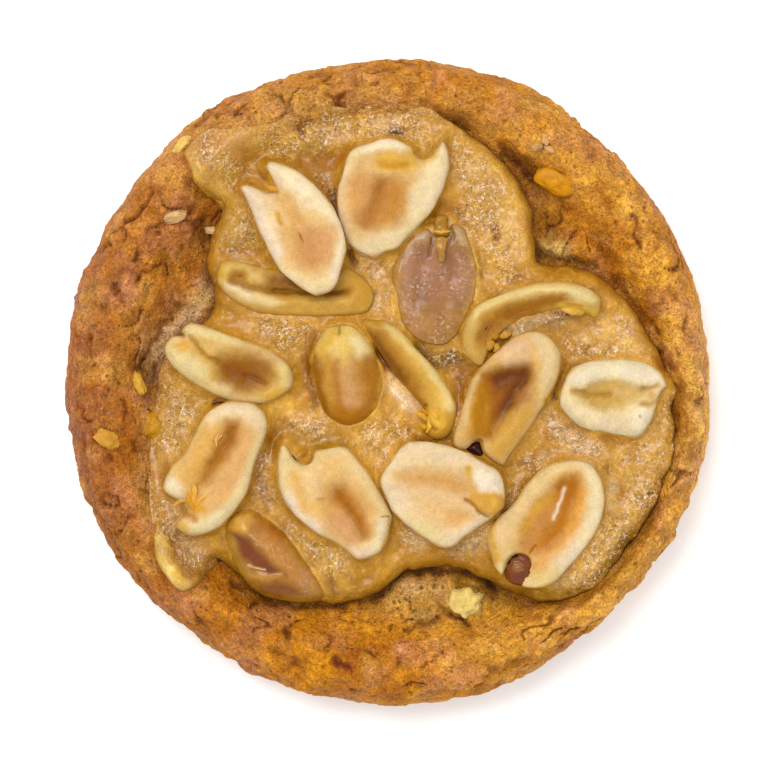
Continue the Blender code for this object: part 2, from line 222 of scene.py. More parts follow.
@dataclass
class Streak:
    """A soft line along a path, or a round spot where the path is one point: its colour, its width in mm, how
    strongly the colour covers, how far it stands up (or sinks) in mm, and its path."""

    colour: str
    width: float
    strength: float
    rise: float
    points: tuple

    def weight(self, x, y):
        """A bell of the distance from the path."""
        return bell(path_distance(self.points, x, y, 3 * self.width), self.width)


@dataclass
class Half:
    """A peanut half seen from above: its outline, the height of its edge line, how that leans in x and y, how
    far its face or back rounds up from the edge, how deep it goes below, its colours (middle, rim) and marks.
    Shoulder is how wide the rounding is. A half that is curved like a boat has a spine that it follows.
    Wetted is how far above its edge line the praline climbs, and glints are the creased places where pale
    glints are painted, as (spread, strength, path)."""

    outline: tuple
    z: float
    crown: float
    below: float
    colours: tuple
    marks: tuple
    lean: tuple = (0.0, 0.0)
    shoulder: float = 1.6
    skin: bool = False
    spine: tuple = ()
    wetted: float = -0.05
    glints: tuple = ()

    def edge_line(self, x, y):
        """Height of the plane of the edge line: z + lean . (place - middle of the outline)."""
        middle = closed_spline(self.outline, NUT_STEPS).mean(axis=0)
        return self.z + self.lean[0] * (x - middle[0]) + self.lean[1] * (y - middle[1])


@dataclass
class Bit:
    """A chopped bit: its colour, place, height above the dough, long, short and high sizes, how far it is
    turned, and how many blunt points it has."""

    colour: str
    x: float
    y: float
    lift: float
    long: float
    short: float
    high: float
    turn: float
    points: int = 0


@dataclass
class Stalk:
    """A germ, flake or sliver: its colour, its middle line as (x, y, z), its half width at each point of
    that line, and its thickness as a share of its width."""

    colour: str
    path: tuple
    widths: tuple
    flat: float


# The praline's outline, traced as (x, y) seen from above, its colours, and its marks. Pools are the
# brown rings round the nuts, and the thin colour is the film's that runs out over the dough.
PRALINE_OUTLINE = (
    (4.6, 29.2), (8.9, 26.7), (12.7, 23.4), (15.2, 19.6), (15.9, 15.3), (15.8, 13.5), (16.5, 12.7),
    (20.5, 12.4), (23.6, 11.1), (26, 8.5), (28.2, 4.8), (29.9, 1.6), (30.8, 0.4), (31.1, -1.5), (30.8, -3.1),
    (31.2, -5.3), (30.4, -9.6), (28.4, -14), (25.7, -18.2), (23.4, -21.3), (20.9, -23), (17, -23.8),
    (13.6, -22.9), (8.9, -20.7), (5.1, -20.1), (2.3, -20.5), (-0.3, -22.2), (-1.7, -23.1), (-6.3, -24),
    (-11.2, -23.7), (-14.3, -22.7), (-18, -19.6), (-19.2, -19.6), (-19.5, -20.7), (-20.4, -22),
    (-21.5, -22.5), (-22.9, -22), (-24.9, -19.4), (-25.6, -15.1), (-25.9, -9.6), (-25.5, -3.1), (-24.4, 2.6),
    (-22.2, 5.3), (-19.6, 6.8), (-18.8, 7.9), (-18.9, 9.6), (-19.5, 12.9), (-18.9, 16.4), (-18, 17.9),
    (-17.8, 19.2), (-18.8, 19.9), (-20.6, 21.3), (-21.8, 24.2), (-21, 26.3), (-19.3, 27.1), (-14.4, 27.6),
    (-9.5, 29.1), (-3.6, 29.7), (1, 29.9),
)
PRALINE_COLOUR = "CB9A48"
# The pools are partly deeper praline and partly painted shade, and the edge colour is painted shade along the
# praline's edge.
POOL_AND_SHADE_COLOUR = "7A4812"
EDGE_SHADE_COLOUR = "A8762C"
THIN_COLOUR = "C9965A"
PRALINE_TONE_POWERS = (0.85, 1.0, 1.2)
PRALINE_MARKS = (
    # Upper left spill, and the top band.
    Streak("C4905C", 2.6, 0.8, 0, ((-19, 25.5), (-15.6, 26))),
    Streak("DCB064", 0.7, 0.8, 0.2, ((-21.3, 24.5), (-21, 22.8), (-19.8, 21.2), (-18.5, 20.5), (-17.3, 21.2),
        (-16.6, 22.3))),
    Streak("D8B068", 0.9, 0.7, 0.1, ((-18.6, 21.6), (-17.2, 22.8))),
    Streak("CFA05A", 2.6, 0.7, 0, ((-12.5, 26.6), (-6, 27.4), (2, 28.2))),
    Streak("AE7C1C", 0.9, 0.9, -0.25, ((-16.8, 21.2), (-15.5, 22.6), (-14.4, 24), (-12, 24.4), (-9, 24.1),
        (-6, 24), (-4.4, 25.2))),
    Streak("B47210", 0.8, 0.8, -0.1, ((-8, 23.8), (-5.4, 23.7))),
    Streak("B48C34", 0.7, 0.6, 0, ((-13, 25.2), (-7, 25.4))),
    Streak("6E3C10", 0.35, 0.9, -0.3, ((-9.7, 27.2), (-9.4, 26.6))),
    Streak("8A5018", 0.45, 0.8, -0.2, ((-9.4, 27.6), (-8.2, 28))),
    Streak("4A2420", 0.3, 0.95, -0.2, ((0.2, 26.8), (1, 26.75), (1.7, 27))),
    # Between the first two nuts.
    Streak("B8864C", 1.6, 0.8, 0, ((-8.4, 22.6), (-6.6, 20.8))),
    # Painted shade in the gap between the first two halves.
    Streak("6A3608", 0.4, 0.9, -0.4, ((-5.9, 20.4), (-5.75, 18.4), (-5.6, 17.4))),
    Streak("C08A3C", 0.8, 0.8, 0, ((-14.6, 21.8), (-13.6, 22.4))),
    Streak("8A5A1C", 0.2, 0.7, -0.1, ((-14, 22.9), (-13.8, 22.2), (-13.2, 21.9))),
    # Upper right: smooth rounded edge, froth inside it.
    Streak("CF9E48", 1.2, 0.8, 0.1, ((7.4, 26.4), (10.2, 25.2), (12.6, 22.8), (14.2, 20.2), (14.9, 17),
        (15.2, 14))),
    Streak("DDB070", 2.2, 0.6, 0.1, ((9, 22.6), (11.6, 19), (12.8, 14.6))),
    Streak("A46E16", 1, 0.85, -0.25, ((4.2, 17.4), (5.8, 18.9), (7.6, 18.4), (8.2, 17))),
    Streak("9A5A18", 0.45, 0.95, -0.5, ((11.7, 16.6), (11.6, 15.5))),
    Streak("DFB46C", 0.35, 0.8, 0.25, ((8.5, 16.6), (9, 14.8), (9.6, 12.8), (9.9, 10.8), (9.6, 8.8))),
    Streak("A87220", 0.4, 0.7, -0.1, ((9.8, 14), (10.4, 11.4))),
    Streak("D8A850", 0.6, 0.8, 0.1, ((15.6, 14.4), (16, 13))),
    # Round the crescent on the right.
    Streak("C08A36", 1, 0.8, 0.05, ((12, 9.9), (14.5, 11), (17, 11.7), (20, 11.8), (22.5, 11), (24.4, 9.6))),
    Streak("CC9A4C", 1.6, 0.8, 0.1, ((24.4, 9.4), (25.4, 7), (26.8, 5.2))),
    Streak("E2B47C", 1, 0.8, 0.1, ((23.4, 5.8), (25.6, 5.4))),
    Streak("EED8C0", 0.45, 0.9, 0.15, ((21.2, 4.7),)),
    Streak("E8C880", 0.5, 0.9, 0.1, ((26.2, 4.3),)),
    Streak("C0904C", 1.2, 0.7, 0, ((18.8, 5.2), (19.4, 3))),
    Streak("A87228", 0.45, 0.8, -0.3, ((19.2, 1.9), (18.5, 0.6), (18.3, -1))),
    Streak("4A2808", 0.28, 0.95, -0.4, ((18, -1.4), (17.85, -1.8))),
    Streak("9A5028", 0.5, 0.7, -0.1, ((29, 2.4), (30, 1.5))),
    Streak("D8AA60", 0.6, 0.8, 0.1, ((30.4, -0.6), (30.2, -3), (30.2, -5))),
    Streak("A8701C", 0.45, 0.8, -0.2, ((23, -6.2), (25, -6.6), (27.2, -6.4))),
    # Lower right.
    Streak("CDA05C", 3, 0.7, 0, ((28.6, -7), (27.6, -11.6), (24.8, -17))),
    Streak("CBA28A", 1.1, 0.8, 0.1, ((17.6, -4.7), (19.4, -6), (21.8, -7.4))),
    Streak("B07818", 0.7, 0.8, -0.1, ((17, -5.6), (17.4, -6.4))),
    Streak("A86A18", 0.6, 0.9, -0.15, ((25.4, -11.8), (25.5, -12.8))),
    Streak("DDBC94", 0.6, 0.8, 0.1, ((24.3, -11), (24.2, -13.4))),
    Streak("4A2A0A", 0.22, 0.95, -0.3, ((28.2, -11.9),)),
    Streak("6A3C10", 0.22, 0.95, -0.3, ((27.2, -12.4),)),
    Streak("9A6E20", 0.35, 0.8, -0.2, ((23.4, -9.2), (23.9, -9.6))),
    Streak("DDB488", 0.9, 0.7, 0.1, ((18.2, -21.6), (20.8, -20.9))),
    Streak("A27A2C", 0.9, 0.85, 0, ((14.2, -22.9), (17, -23), (20, -22.7), (22.4, -21.2), (24.2, -19.4),
        (26, -16.6))),
    Streak("AA7630", 0.7, 0.8, -0.1, ((16, -9.8), (14, -12.2), (12.8, -13.6))),
    Streak("B0803A", 1.2, 0.7, 0, ((14.6, -8.6), (16.8, -8), (18.6, -8))),
    # Bottom.
    Streak("B07E2C", 2, 0.85, 0, ((1.4, -17.6), (4.6, -18.8), (9, -19.4), (11, -20.4))),
    Streak("B4821E", 1.4, 0.8, 0, ((-1.2, -20.6), (-3.4, -21.6))),
    Streak("C9A888", 0.8, 0.8, 0.1, ((2.2, -16.7), (3.8, -17.3))),
    Streak("C9A888", 0.9, 0.8, 0.1, ((7.4, -18.3), (9, -17.6), (10.2, -16.8))),
    Streak("D8B070", 1.6, 0.6, 0.1, ((-7.8, -18.6), (-5.8, -19.6))),
    Streak("BE8C3C", 1.2, 0.7, 0, ((-17.6, -17.6), (-16.4, -20.4), (-14.4, -22))),
    Streak("E2C084", 0.35, 0.9, 0.1, ((-18.2, -19.4), (-17, -21.2), (-15, -22.5))),
    Streak("8A5C18", 0.6, 0.7, -0.1, ((-6.4, -21), (-6, -23.2))),
    # Lower left lobe: pale raised rim round a brown valley.
    Streak("C4A080", 1.3, 0.8, 0.1, ((-24.2, -13.8), (-23, -15.4))),
    Streak("C4A080", 1.2, 0.8, 0.1, ((-22.2, -17.2), (-21, -18.8))),
    Streak("A06C38", 0.7, 0.8, -0.3, ((-23.4, -16.6), (-22.9, -18.6), (-21.6, -20.4), (-19.9, -21))),
    Streak("E4C27E", 0.7, 0.9, 0.2, ((-24.7, -16.8), (-24.4, -19), (-23.6, -20.8), (-22.2, -21.8),
        (-21.2, -22))),
    # Painted highlight on the rim.
    Streak("F4E0B0", 0.25, 0.8, 0.1, ((-23.8, -20.2), (-23, -21.3))),
    Streak("B89070", 1, 0.7, 0.1, ((-13.6, -8.2), (-13.7, -11), (-13, -12.8))),
    Streak("C09060", 1, 0.7, 0, ((-12.4, -14.4), (-10.8, -16.2))),
    Streak("C89A44", 0.8, 0.8, 0.1, ((-9.8, -16.2), (-8, -17.2), (-6.6, -17.6))),
    Streak("A8741E", 0.6, 0.7, -0.1, ((-8.2, -19.4), (-8, -17.9))),
    # Left side, up to the nuts there.
    Streak("C2985A", 2.4, 0.7, 0.1, ((-24, -2), (-23.2, -6), (-24.6, -9.6))),
    Streak("8A5820", 0.5, 0.7, -0.3, ((-25.4, -6.4), (-25.2, -8))),
    # Painted shadow between the fifth and eleventh halves, where the praline also sinks.
    Streak("3A1A04", 0.35, 0.95, -0.6, ((-18.6, -2.3), (-17.7, -2.25))),
    Streak("BE8C44", 2, 0.7, 0.1, ((-15.6, 5.8), (-11, 5.4))),
    Streak("B87C30", 0.6, 0.6, 0, ((-17.2, 5.8), (-16.4, 5.4))),
    # Painted shadow to the left of the sixth half.
    Streak("9A6426", 0.5, 0.7, -0.2, ((-8.6, 5.8), (-8.9, 3), (-8.7, 0.2), (-8.3, -1.8))),
    Streak("E0AC80", 0.16, 0.7, 0.2, ((-8.55, 0), (-7.8, -2.5), (-6.6, -4.4))),
    Streak("CF9C38", 1, 0.8, 0.1, ((-12.8, -3.4), (-10.6, -2.8), (-9.6, -0.4))),
    Streak("E4BC60", 0.7, 0.7, 0.15, ((-12.6, -2.9), (-11, -2.6))),
    Streak("9A6418", 0.8, 0.7, -0.2, ((-11.2, -4.6), (-9, -6))),
    Streak("D8AC84", 1, 0.7, 0.1, ((-9.6, -4.4), (-7.6, -5))),
    Streak("A87C1C", 1, 0.85, 0, ((-10.4, -5.9), (-7.6, -6.5), (-4.4, -6.3))),
    Streak("8A5A18", 0.9, 0.8, -0.2, ((-12.2, -5.6), (-12.6, -7.4))),
    Streak("B07A2C", 0.8, 0.8, 0.9, ((-9.2, -8),)),
    Streak("E0A880", 0.25, 0.9, 0.2, ((-11.3, -6.6),)),
    Streak("C49A5C", 1.8, 0.8, 0.1, ((-16.8, 17.2), (-15.6, 16))),
    Streak("AC7422", 0.6, 0.85, -0.1, ((-18, 13.7), (-16, 14.2), (-13.8, 14))),
    Streak("C48E40", 0.6, 0.8, 0.1, ((-19, 15.4), (-19.1, 12), (-18.8, 9.8))),
    Streak("B07E38", 0.8, 0.7, -0.1, ((-18.4, 8.6), (-16.8, 7.2))),
    # The middle.
    Streak("D0A468", 1.4, 0.7, 0, ((-2.6, 13), (-0.6, 11.4), (-0.8, 7.8))),
    # Painted shade in the gap between the first and second halves.
    Streak("5E3408", 0.35, 0.9, -0.4, ((-4.2, 14), (-3.8, 13))),
    Streak("C0A088", 0.12, 0.7, 0.1, ((-3.8, 12.9), (-2.8, 12.4))),
    # Painted shadow between the sixth and seventh halves.
    Streak("6E3E0C", 0.35, 0.85, -0.3, ((-1.1, 3.4), (-0.2, 2), (1.1, -0.2))),
    # Painted highlight along the pinkish froth between the sixth and seventh halves.
    Streak("E2BC98", 0.9, 0.9, 0.2, ((0.6, -0.2), (1.5, -1.6), (2.8, -3.2))),
    Streak("F2DCC8", 0.3, 0.8, 0.1, ((0.7, -1), (1.4, -2.3), (2.3, -3.2))),
    Streak("D8A240", 1.6, 0.85, 0, ((-2.6, -7), (0.4, -6.4), (3, -5.8))),
    Streak("DCB070", 1.3, 0.7, 0.1, ((-1.2, -7.2), (-0.4, -8.2))),
    Streak("6E4E14", 1, 0.85, -0.3, ((3.4, 3.2), (5.6, 1.8), (7.4, 2.4))),
    Streak("9A5C14", 0.8, 0.85, 0.1, ((7.6, 1), (7.9, -1), (7.8, -2.8))),
    Streak("A87220", 1, 0.8, -0.1, ((3.2, -6.4), (5.4, -7), (8, -8))),
    Streak("8A5A34", 0.5, 0.7, -0.2, ((3.6, -6.4), (4.8, -6.5))),
    Streak("D0983A", 0.8, 0.9, 0.2, ((11, 3.8), (12.2, 4.6))),
    Streak("BE9C7A", 0.9, 0.9, 0.7, ((13.6, 5.6), (16.4, 6.6), (18.6, 7.1))),
    # Painted shadow under the lower edge of the eighth half.
    Streak("7A4820", 0.2, 0.8, 0, ((17.3, 7.5), (19.5, 7.2))),
    Streak("A46C1C", 0.7, 0.8, -0.2, ((9, 1.4), (10.6, 3), (12, 4))),
    # Painted shadow in the praline to the left of the sixth half and between it and the seventh, where it
    # also sinks a little.
    Streak("74400E", 0.42, 0.6, -0.1, ((-7.9, 5.2), (-8.45, 2.8), (-8.35, 0.2), (-7.7, -2.6))),
    Streak("6E3A08", 0.4, 0.8, -0.15, ((-1.4, 4), (-0.5, 2.6), (0.3, 1.4))),
)

# Where the praline foamed, with painted sparkles on the froth, as (spread, strength, path).
FROTH_AND_SPARKLES = (
    (1.6, 0.9, ((-19.6, 26), (-19.2, 24.2), (-17, 22.8))),
    (2.4, 0.9, ((-12, 27), (-8, 27.2), (-2, 28), (3.4, 27.6))),
    (2.2, 1, ((7.5, 24.5), (9.5, 22.5), (10.5, 19.5))),
    (2, 1, ((9.4, 17), (11.6, 17.6), (12.2, 14.6), (12.6, 11.8))),
    (1.4, 0.8, ((23, 6), (25.6, 5.4))),
    (1.1, 0.9, ((20, 3.8), (24.6, 3.2), (27.6, 2.9))),
    (1.3, 1, ((17.4, -4.6), (19.6, -6.2), (21.8, -7.6))),
    (3, 0.8, ((28, -8), (27.4, -13), (24.4, -17.6), (21.6, -20.6))),
    (1.6, 0.8, ((30.2, -3), (29.8, -7))),
    (1.2, 0.8, ((18.4, -21.4), (20.8, -20.6))),
    (1.8, 1, ((-23.6, -1.6), (-22.2, -3.6), (-23.4, -6.4))),
    (1.5, 1, ((-24.4, -13.6), (-23, -15.6))),
    (1.4, 1, ((-22.2, -17.2), (-20.9, -19))),
    (1, 1, ((-13.6, -8.4), (-13.6, -11), (-13, -13))),
    (1.2, 0.9, ((-11.2, -16.2), (-9.4, -17.4))),
    (1.6, 0.9, ((-7.4, -18.6), (-6, -19.4))),
    (1.3, 1, ((-9.6, -4.4), (-7.6, -5))),
    (0.9, 0.4, ((0.2, 1), (1.4, -1.4), (2.6, -3.4))),
    (1.8, 0.9, ((-1, -7.4), (-1.6, -5.8), (1.6, -5.4))),
    (1, 1, ((2.4, -16.6), (4, -17.2))),
    (1.1, 1, ((7.4, -18), (9.4, -17.2), (10.4, -16.4))),
    (1.4, 0.9, ((-15.2, 17.6), (-14.6, 15.6), (-16.8, 14.8))),
    (1.6, 0.9, ((-13.4, 6), (-10, 6.2), (-11.8, 4))),
    (1.1, 1, ((-7.4, 21.2), (-6.2, 20.4))),
    (0.9, 1, ((5.4, 2.2), (7.2, 2.8))),
    (0.8, 1, ((13.6, 5.5), (16.4, 6.6), (18.8, 7.1))),
    (1.4, 0.8, ((-2.4, 12.9), (-0.6, 11), (-0.8, 7.6))),
    (1.4, 0.8, ((16.4, -9), (14.6, -9.2))),
    (1, 0.9, ((13.4, -11.6), (13.3, -13))),
)

# The dough's paint: its general colours, patches of noise as (size, colour, strength), the broad tones where
# it browned more or less, with painted light on the right of the rim, then its marks: painted shadow and
# shade along the praline, pits, cracks and crumbs. Where the tone makes hollows darker and bumps lighter, as
# painted shade and light, it changes red, green and blue by these powers, so that darker dough is also
# redder.
CRUST_COLOUR = "C27E30"
BASE_COLOUR = "B87832"
SHADE_COLOUR = "6E3C10"
CRACK_COLOUR = "5E2C0C"
CRUST_PATCHES = ((4.0, "A8621C", 0.55), (3.0, "D09C5C", 0.50), (3.4, "C88868", 0.50), (1.6, "B06A24", 0.35))
CRUST_PATCH_SEED = 70
CRUST_TONE_POWERS = (0.8, 1.0, 1.3)
SHADE_SPREAD = 0.7
CRUST_TONES_AND_LIGHT = (
    Streak("9C6044", 7.5, 0.9, 0, ((-31.8, 8.5), (-32.4, -2), (-30, -12))),
    Streak("BC7E34", 3.5, 0.7, 0, ((-24, 14.5), (-26, 9), (-27.6, 2), (-27.4, -8))),
    Streak("C08044", 6, 0.7, 0, ((29.5, -12.9), (26.2, -19.4))),
    Streak("A86820", 6, 0.7, 0, ((-28, -16), (-22, -24.5))),
    Streak("CE8A16", 6, 0.8, 0, ((-8, -30.5), (3.5, -32.4))),
    Streak("C48214", 7, 0.8, 0, ((14.3, -28.1), (22.8, -23.7))),
    # Painted light on the right of the rim.
    Streak("F8BC54", 6.5, 0.9, 0, ((33.8, 5), (33.6, -3), (32.6, -11))),
    Streak("CC8836", 7, 0.8, 0, ((16.6, 29.3), (25.1, 20.6))),
    Streak("BC7608", 6, 0.7, 0, ((-5.2, 33.1), (8.7, 31.6))),
    Streak("C08450", 5, 0.8, 0, ((-25.5, 22), (-21, 23.6), (-15, 29.4))),
    Streak("D28A20", 6, 0.7, 0, ((29.5, 11.9), (31.2, 5.5))),
    Streak("C8944E", 3, 0.8, 0, ((-12, 29.6), (-4, 31), (2, 31))),
    # Painted light on the inside of the rim on the right and on the outside next to it.
    Streak("E2A84E", 2.8, 0.85, 0, ((14, 29.5), (20.5, 24.5), (26, 17.6), (29.8, 10.5), (31.6, 3),
        (32.4, -4), (31.2, -11), (28.6, -17.6), (23, -24), (15, -27.5), (6, -29.5))),
    Streak("F6C470", 2.2, 0.85, 0, ((32.9, 4), (33.3, -3), (32.4, -9))),
)
CRUST_MARKS = (
    Streak("CA9C4C", 3, 0.9, 0.1, ((0.6, -22.9), (5, -23), (9.5, -23.2))),
    Streak("DCB478", 1, 0.8, 0.2, ((2, -22.4), (5.4, -22.8))),
    Streak("A88858", 0.7, 0.8, 0, ((3, -25.6), (4.4, -25.3))),
    Streak("86622C", 1.1, 0.8, 0, ((11, -22.9), (13, -23.4))),
    # Painted shade beside the praline on the upper right, where the dough also sinks a little.
    Streak("A87630", 2, 0.8, -0.2, ((16.4, 20.6), (17.2, 17), (17.4, 14.6))),
    Streak("D8B47C", 1.1, 0.9, 0.5, ((17, 14.6), (19, 14.2))),
    # The greyish floor that shows between the praline and the rim on the left.
    Streak("CCAA86", 1.4, 0.95, -0.1, ((-19.3, 10.4), (-20.2, 8.6), (-22.9, 5.8), (-24.7, 3.3),
        (-25.2, 0.8))),
    Streak("80604E", 0.5, 0.8, -0.2, ((-19.8, 7.5), (-18.8, 7.2))),
    # Painted shadow along the praline's edge.
    Streak("8A5A34", 0.8, 0.7, -0.2, ((-20, 15.4), (-19.6, 12.4), (-18.9, 10))),
    Streak("7A4A1C", 0.6, 0.8, -0.3, ((-25.4, -0.6), (-25.3, 1.4))),
    # Painted shadow and shade in shallow grooves where the rim meets the praline.
    Streak("5E3410", 1, 0.9, -0.5, ((12.6, 24.6), (14.4, 23.6), (15.6, 22.4))),
    Streak("6A3E16", 0.6, 0.8, -0.4, ((6.6, 28), (8.4, 27.4))),
    Streak("6A4820", 0.5, 0.9, -0.4, ((16.2, 14.4), (17.2, 13.4), (19.4, 13.2), (22, 12.6))),
    Streak("80481A", 0.6, 0.75, -0.3, ((24.4, 11.4), (26.4, 8.8), (28, 6.2))),
    Streak("5E2410", 0.5, 0.9, -0.5, ((28.8, 3.4), (29.4, 3.2))),
    Streak("9A5028", 0.5, 0.8, -0.2, ((29.6, 2.8), (30.8, 1.4))),
    Streak("94561C", 0.35, 0.7, -0.2, ((31.4, -0.6), (31.2, -3), (31.4, -5.4))),
    Streak("8A5420", 0.6, 0.7, -0.2, ((29.2, -13), (28.2, -14.8), (27.6, -16.2))),
    Streak("8E5C20", 0.5, 0.7, -0.15, ((14, -23.8), (17, -24.4), (20.2, -24), (23, -22.4), (25, -20.2),
        (27, -17.4))),
    Streak("4E2C0C", 0.55, 0.9, -0.5, ((-1.6, -23.4), (-0.5, -22.6), (1, -21.2), (2.6, -20.6), (4.8, -20.5),
        (7, -20.7), (9, -21.2), (11, -22.2))),
    Streak("3A1E08", 0.5, 0.9, -0.4, ((10.9, -22.1), (11.4, -22.3))),
    Streak("5E3A10", 0.5, 0.8, -0.3, ((-16.6, -21.8), (-12.6, -24), (-7, -24.5), (-2, -23.6))),
    Streak("7A4A18", 0.35, 0.8, -0.4, ((-22.4, 8.2), (-24.6, 5.7), (-26.1, 2.6), (-26.4, 0.6))),
    Streak("8A5A1C", 0.4, 0.8, -0.3, ((-21.6, 22), (-20, 20.2), (-18.6, 19.5), (-17, 19.6))),
    Streak("8A5010", 0.45, 0.8, -0.3, ((-20.2, 26.4), (-18.2, 26.9))),
    # Pits and cracks, and one painted shadow.
    Streak("7A3C14", 0.3, 0.85, -0.3, ((-32.2, 4.6), (-32, 2.6))),
    Streak("7A3C14", 0.25, 0.85, -0.3, ((-28.4, -2), (-28.3, -4.2))),
    Streak("7A3C14", 0.35, 0.8, -0.3, ((-29.6, 0.2), (-29.2, -0.2))),
    Streak("7A3C14", 0.3, 0.8, -0.3, ((-33.2, -2.6), (-32.8, -3.1))),
    Streak("7A3C14", 0.3, 0.8, -0.3, ((-31.6, -5.6), (-31.3, -6.3))),
    Streak("7A3C14", 0.3, 0.8, -0.3, ((-30.2, -7.8), (-29.7, -8.1))),
    Streak("8A4C1C", 0.3, 0.8, -0.3, ((-27.4, -6.6), (-27.2, -7.4))),
    Streak("8A4C1C", 0.6, 0.6, -0.2, ((-12.4, -29.2), (-9.6, -30.4))),
    Streak("8A4C1C", 0.35, 0.8, -0.3, ((30.6, -2.4), (30.9, -4))),
    Streak("7A3C14", 0.3, 0.8, -0.3, ((32, 6.8), (32.2, 5.4))),
    Streak("7A3C14", 0.25, 0.8, -0.3, ((18.6, -27.4), (20.6, -26.6))),
    Streak("5E2C0A", 0.3, 0.9, -0.4, ((-27.2, 13.9), (-27.5, 12.9))),
    Streak("6B300A", 0.16, 0.9, -0.3, ((-26.8, 10.9), (-25.3, 12.2), (-24.4, 12.6))),
    Streak("5E2C0A", 0.35, 0.9, -0.4, ((-26.8, 10.8),)),
    Streak("6B300A", 0.28, 0.8, -0.3, ((-29.7, 10.3), (-28.9, 9.4), (-28.5, 8.2))),
    Streak("6B300A", 0.25, 0.8, -0.3, ((-30.7, 7.7),)),
    Streak("6B300A", 0.18, 0.9, -0.3, ((-26.6, 7.5), (-26.9, 6.4), (-28.2, 6))),
    Streak("6B300A", 0.3, 0.9, -0.4, ((-24.8, 16), (-24.4, 15.6))),
    Streak("7A3C10", 0.2, 0.8, -0.3, ((-24.6, 16.6), (-22.8, 17.1), (-20.8, 17), (-19.6, 17.8))),
    Streak("8A4E1C", 1, 0.6, -0.1, ((-21.6, 18.6), (-19.4, 18.2))),
    Streak("6B300A", 0.5, 0.9, -0.5, ((-5.5, 29.5), (-4.9, 30.6))),
    Streak("7A3A0C", 0.4, 0.8, -0.3, ((-6.4, 30.7), (-4.6, 30.9))),
    Streak("8A4A14", 0.5, 0.7, -0.2, ((-11.4, 28.8), (-11, 28.2))),
    Streak("8A4A14", 0.3, 0.7, -0.2, ((-15.4, 29.6), (-15, 28.4))),
    Streak("6B300A", 0.25, 0.8, -0.3, ((-1.7, 31.8), (-1.2, 32))),
    Streak("A85A28", 1, 0.6, 0, ((2.2, 30.5),)),
    Streak("9A5418", 0.9, 0.7, -0.1, ((22.7, 20.7), (23.8, 19.1))),
    Streak("6B300A", 0.22, 0.9, -0.3, ((25.9, 17.6), (26.6, 17.4), (26.8, 16.8))),
    Streak("6B300A", 0.28, 0.9, -0.3, ((26.4, 15.5), (27.1, 14.2))),
    Streak("7A4410", 0.45, 0.8, -0.3, ((29.4, 8.4), (28.8, 8))),
    Streak("7A3C10", 0.5, 0.8, -0.3, ((28.6, 6.4), (29.2, 5.4))),
    Streak("6B300A", 0.35, 0.9, -0.4, ((-5.7, -30), (-3.9, -31.1))),
    Streak("6B300A", 0.22, 0.9, -0.3, ((-2.3, -29.4), (-1.7, -29.8))),
    Streak("7A3C10", 0.4, 0.7, -0.2, ((1.3, -30.2), (1.4, -30.8))),
    Streak("6B300A", 0.16, 0.8, -0.3, ((3.5, -30.8), (5.6, -29.7))),
    Streak("D8A078", 0.35, 0.8, 0.2, ((1.3, -29),)),
    Streak("6B3C14", 0.35, 0.8, -0.4, ((1.6, -27), (3.2, -26.6), (5.6, -25.9))),
    Streak("3A1C08", 0.3, 0.95, -0.3, ((-15.1, -24.3), (-14.7, -24.1))),
    Streak("3A1C08", 0.2, 0.95, -0.2, ((4.9, -22),)),
    # Painted shadow under the star-shaped chip.
    Streak("4A2808", 0.3, 0.9, -0.3, ((6.8, -25.2), (8.6, -26.2))),
    Streak("6A4418", 0.35, 0.8, -0.2, ((5.4, -24.4), (6.2, -24.9))),
    Streak("D8B070", 0.3, 0.9, 0.3, ((6.2, -24.2),)),
    Streak("C88E5C", 0.6, 0.8, 0.1, ((5.2, -23.4),)),
    Streak("D8A878", 0.35, 0.9, 0.2, ((31, -10),)),
    Streak("DFB488", 0.3, 0.9, 0.3, ((-15.6, 19.9), (-17, 19.9))),
)

# The peanut halves, numbered as in the CAD model, and what all of them share: the width of the paler rim
# and of the darker edge, the colour of that, how knobbly the outline is, how wide a strip along it the
# face's relief grows in (all in mm), and the share of their size under which rings slide along the spine.
NUT_RIM_WIDTH = 0.8
NUT_EDGE_WIDTH = 0.24
NUT_EDGE_COLOUR = "C89444"
NUT_KNOBS = 0.10
NUT_RELIEF_STRIP = 0.8
NUT_SPINE_SHARE = 0.3

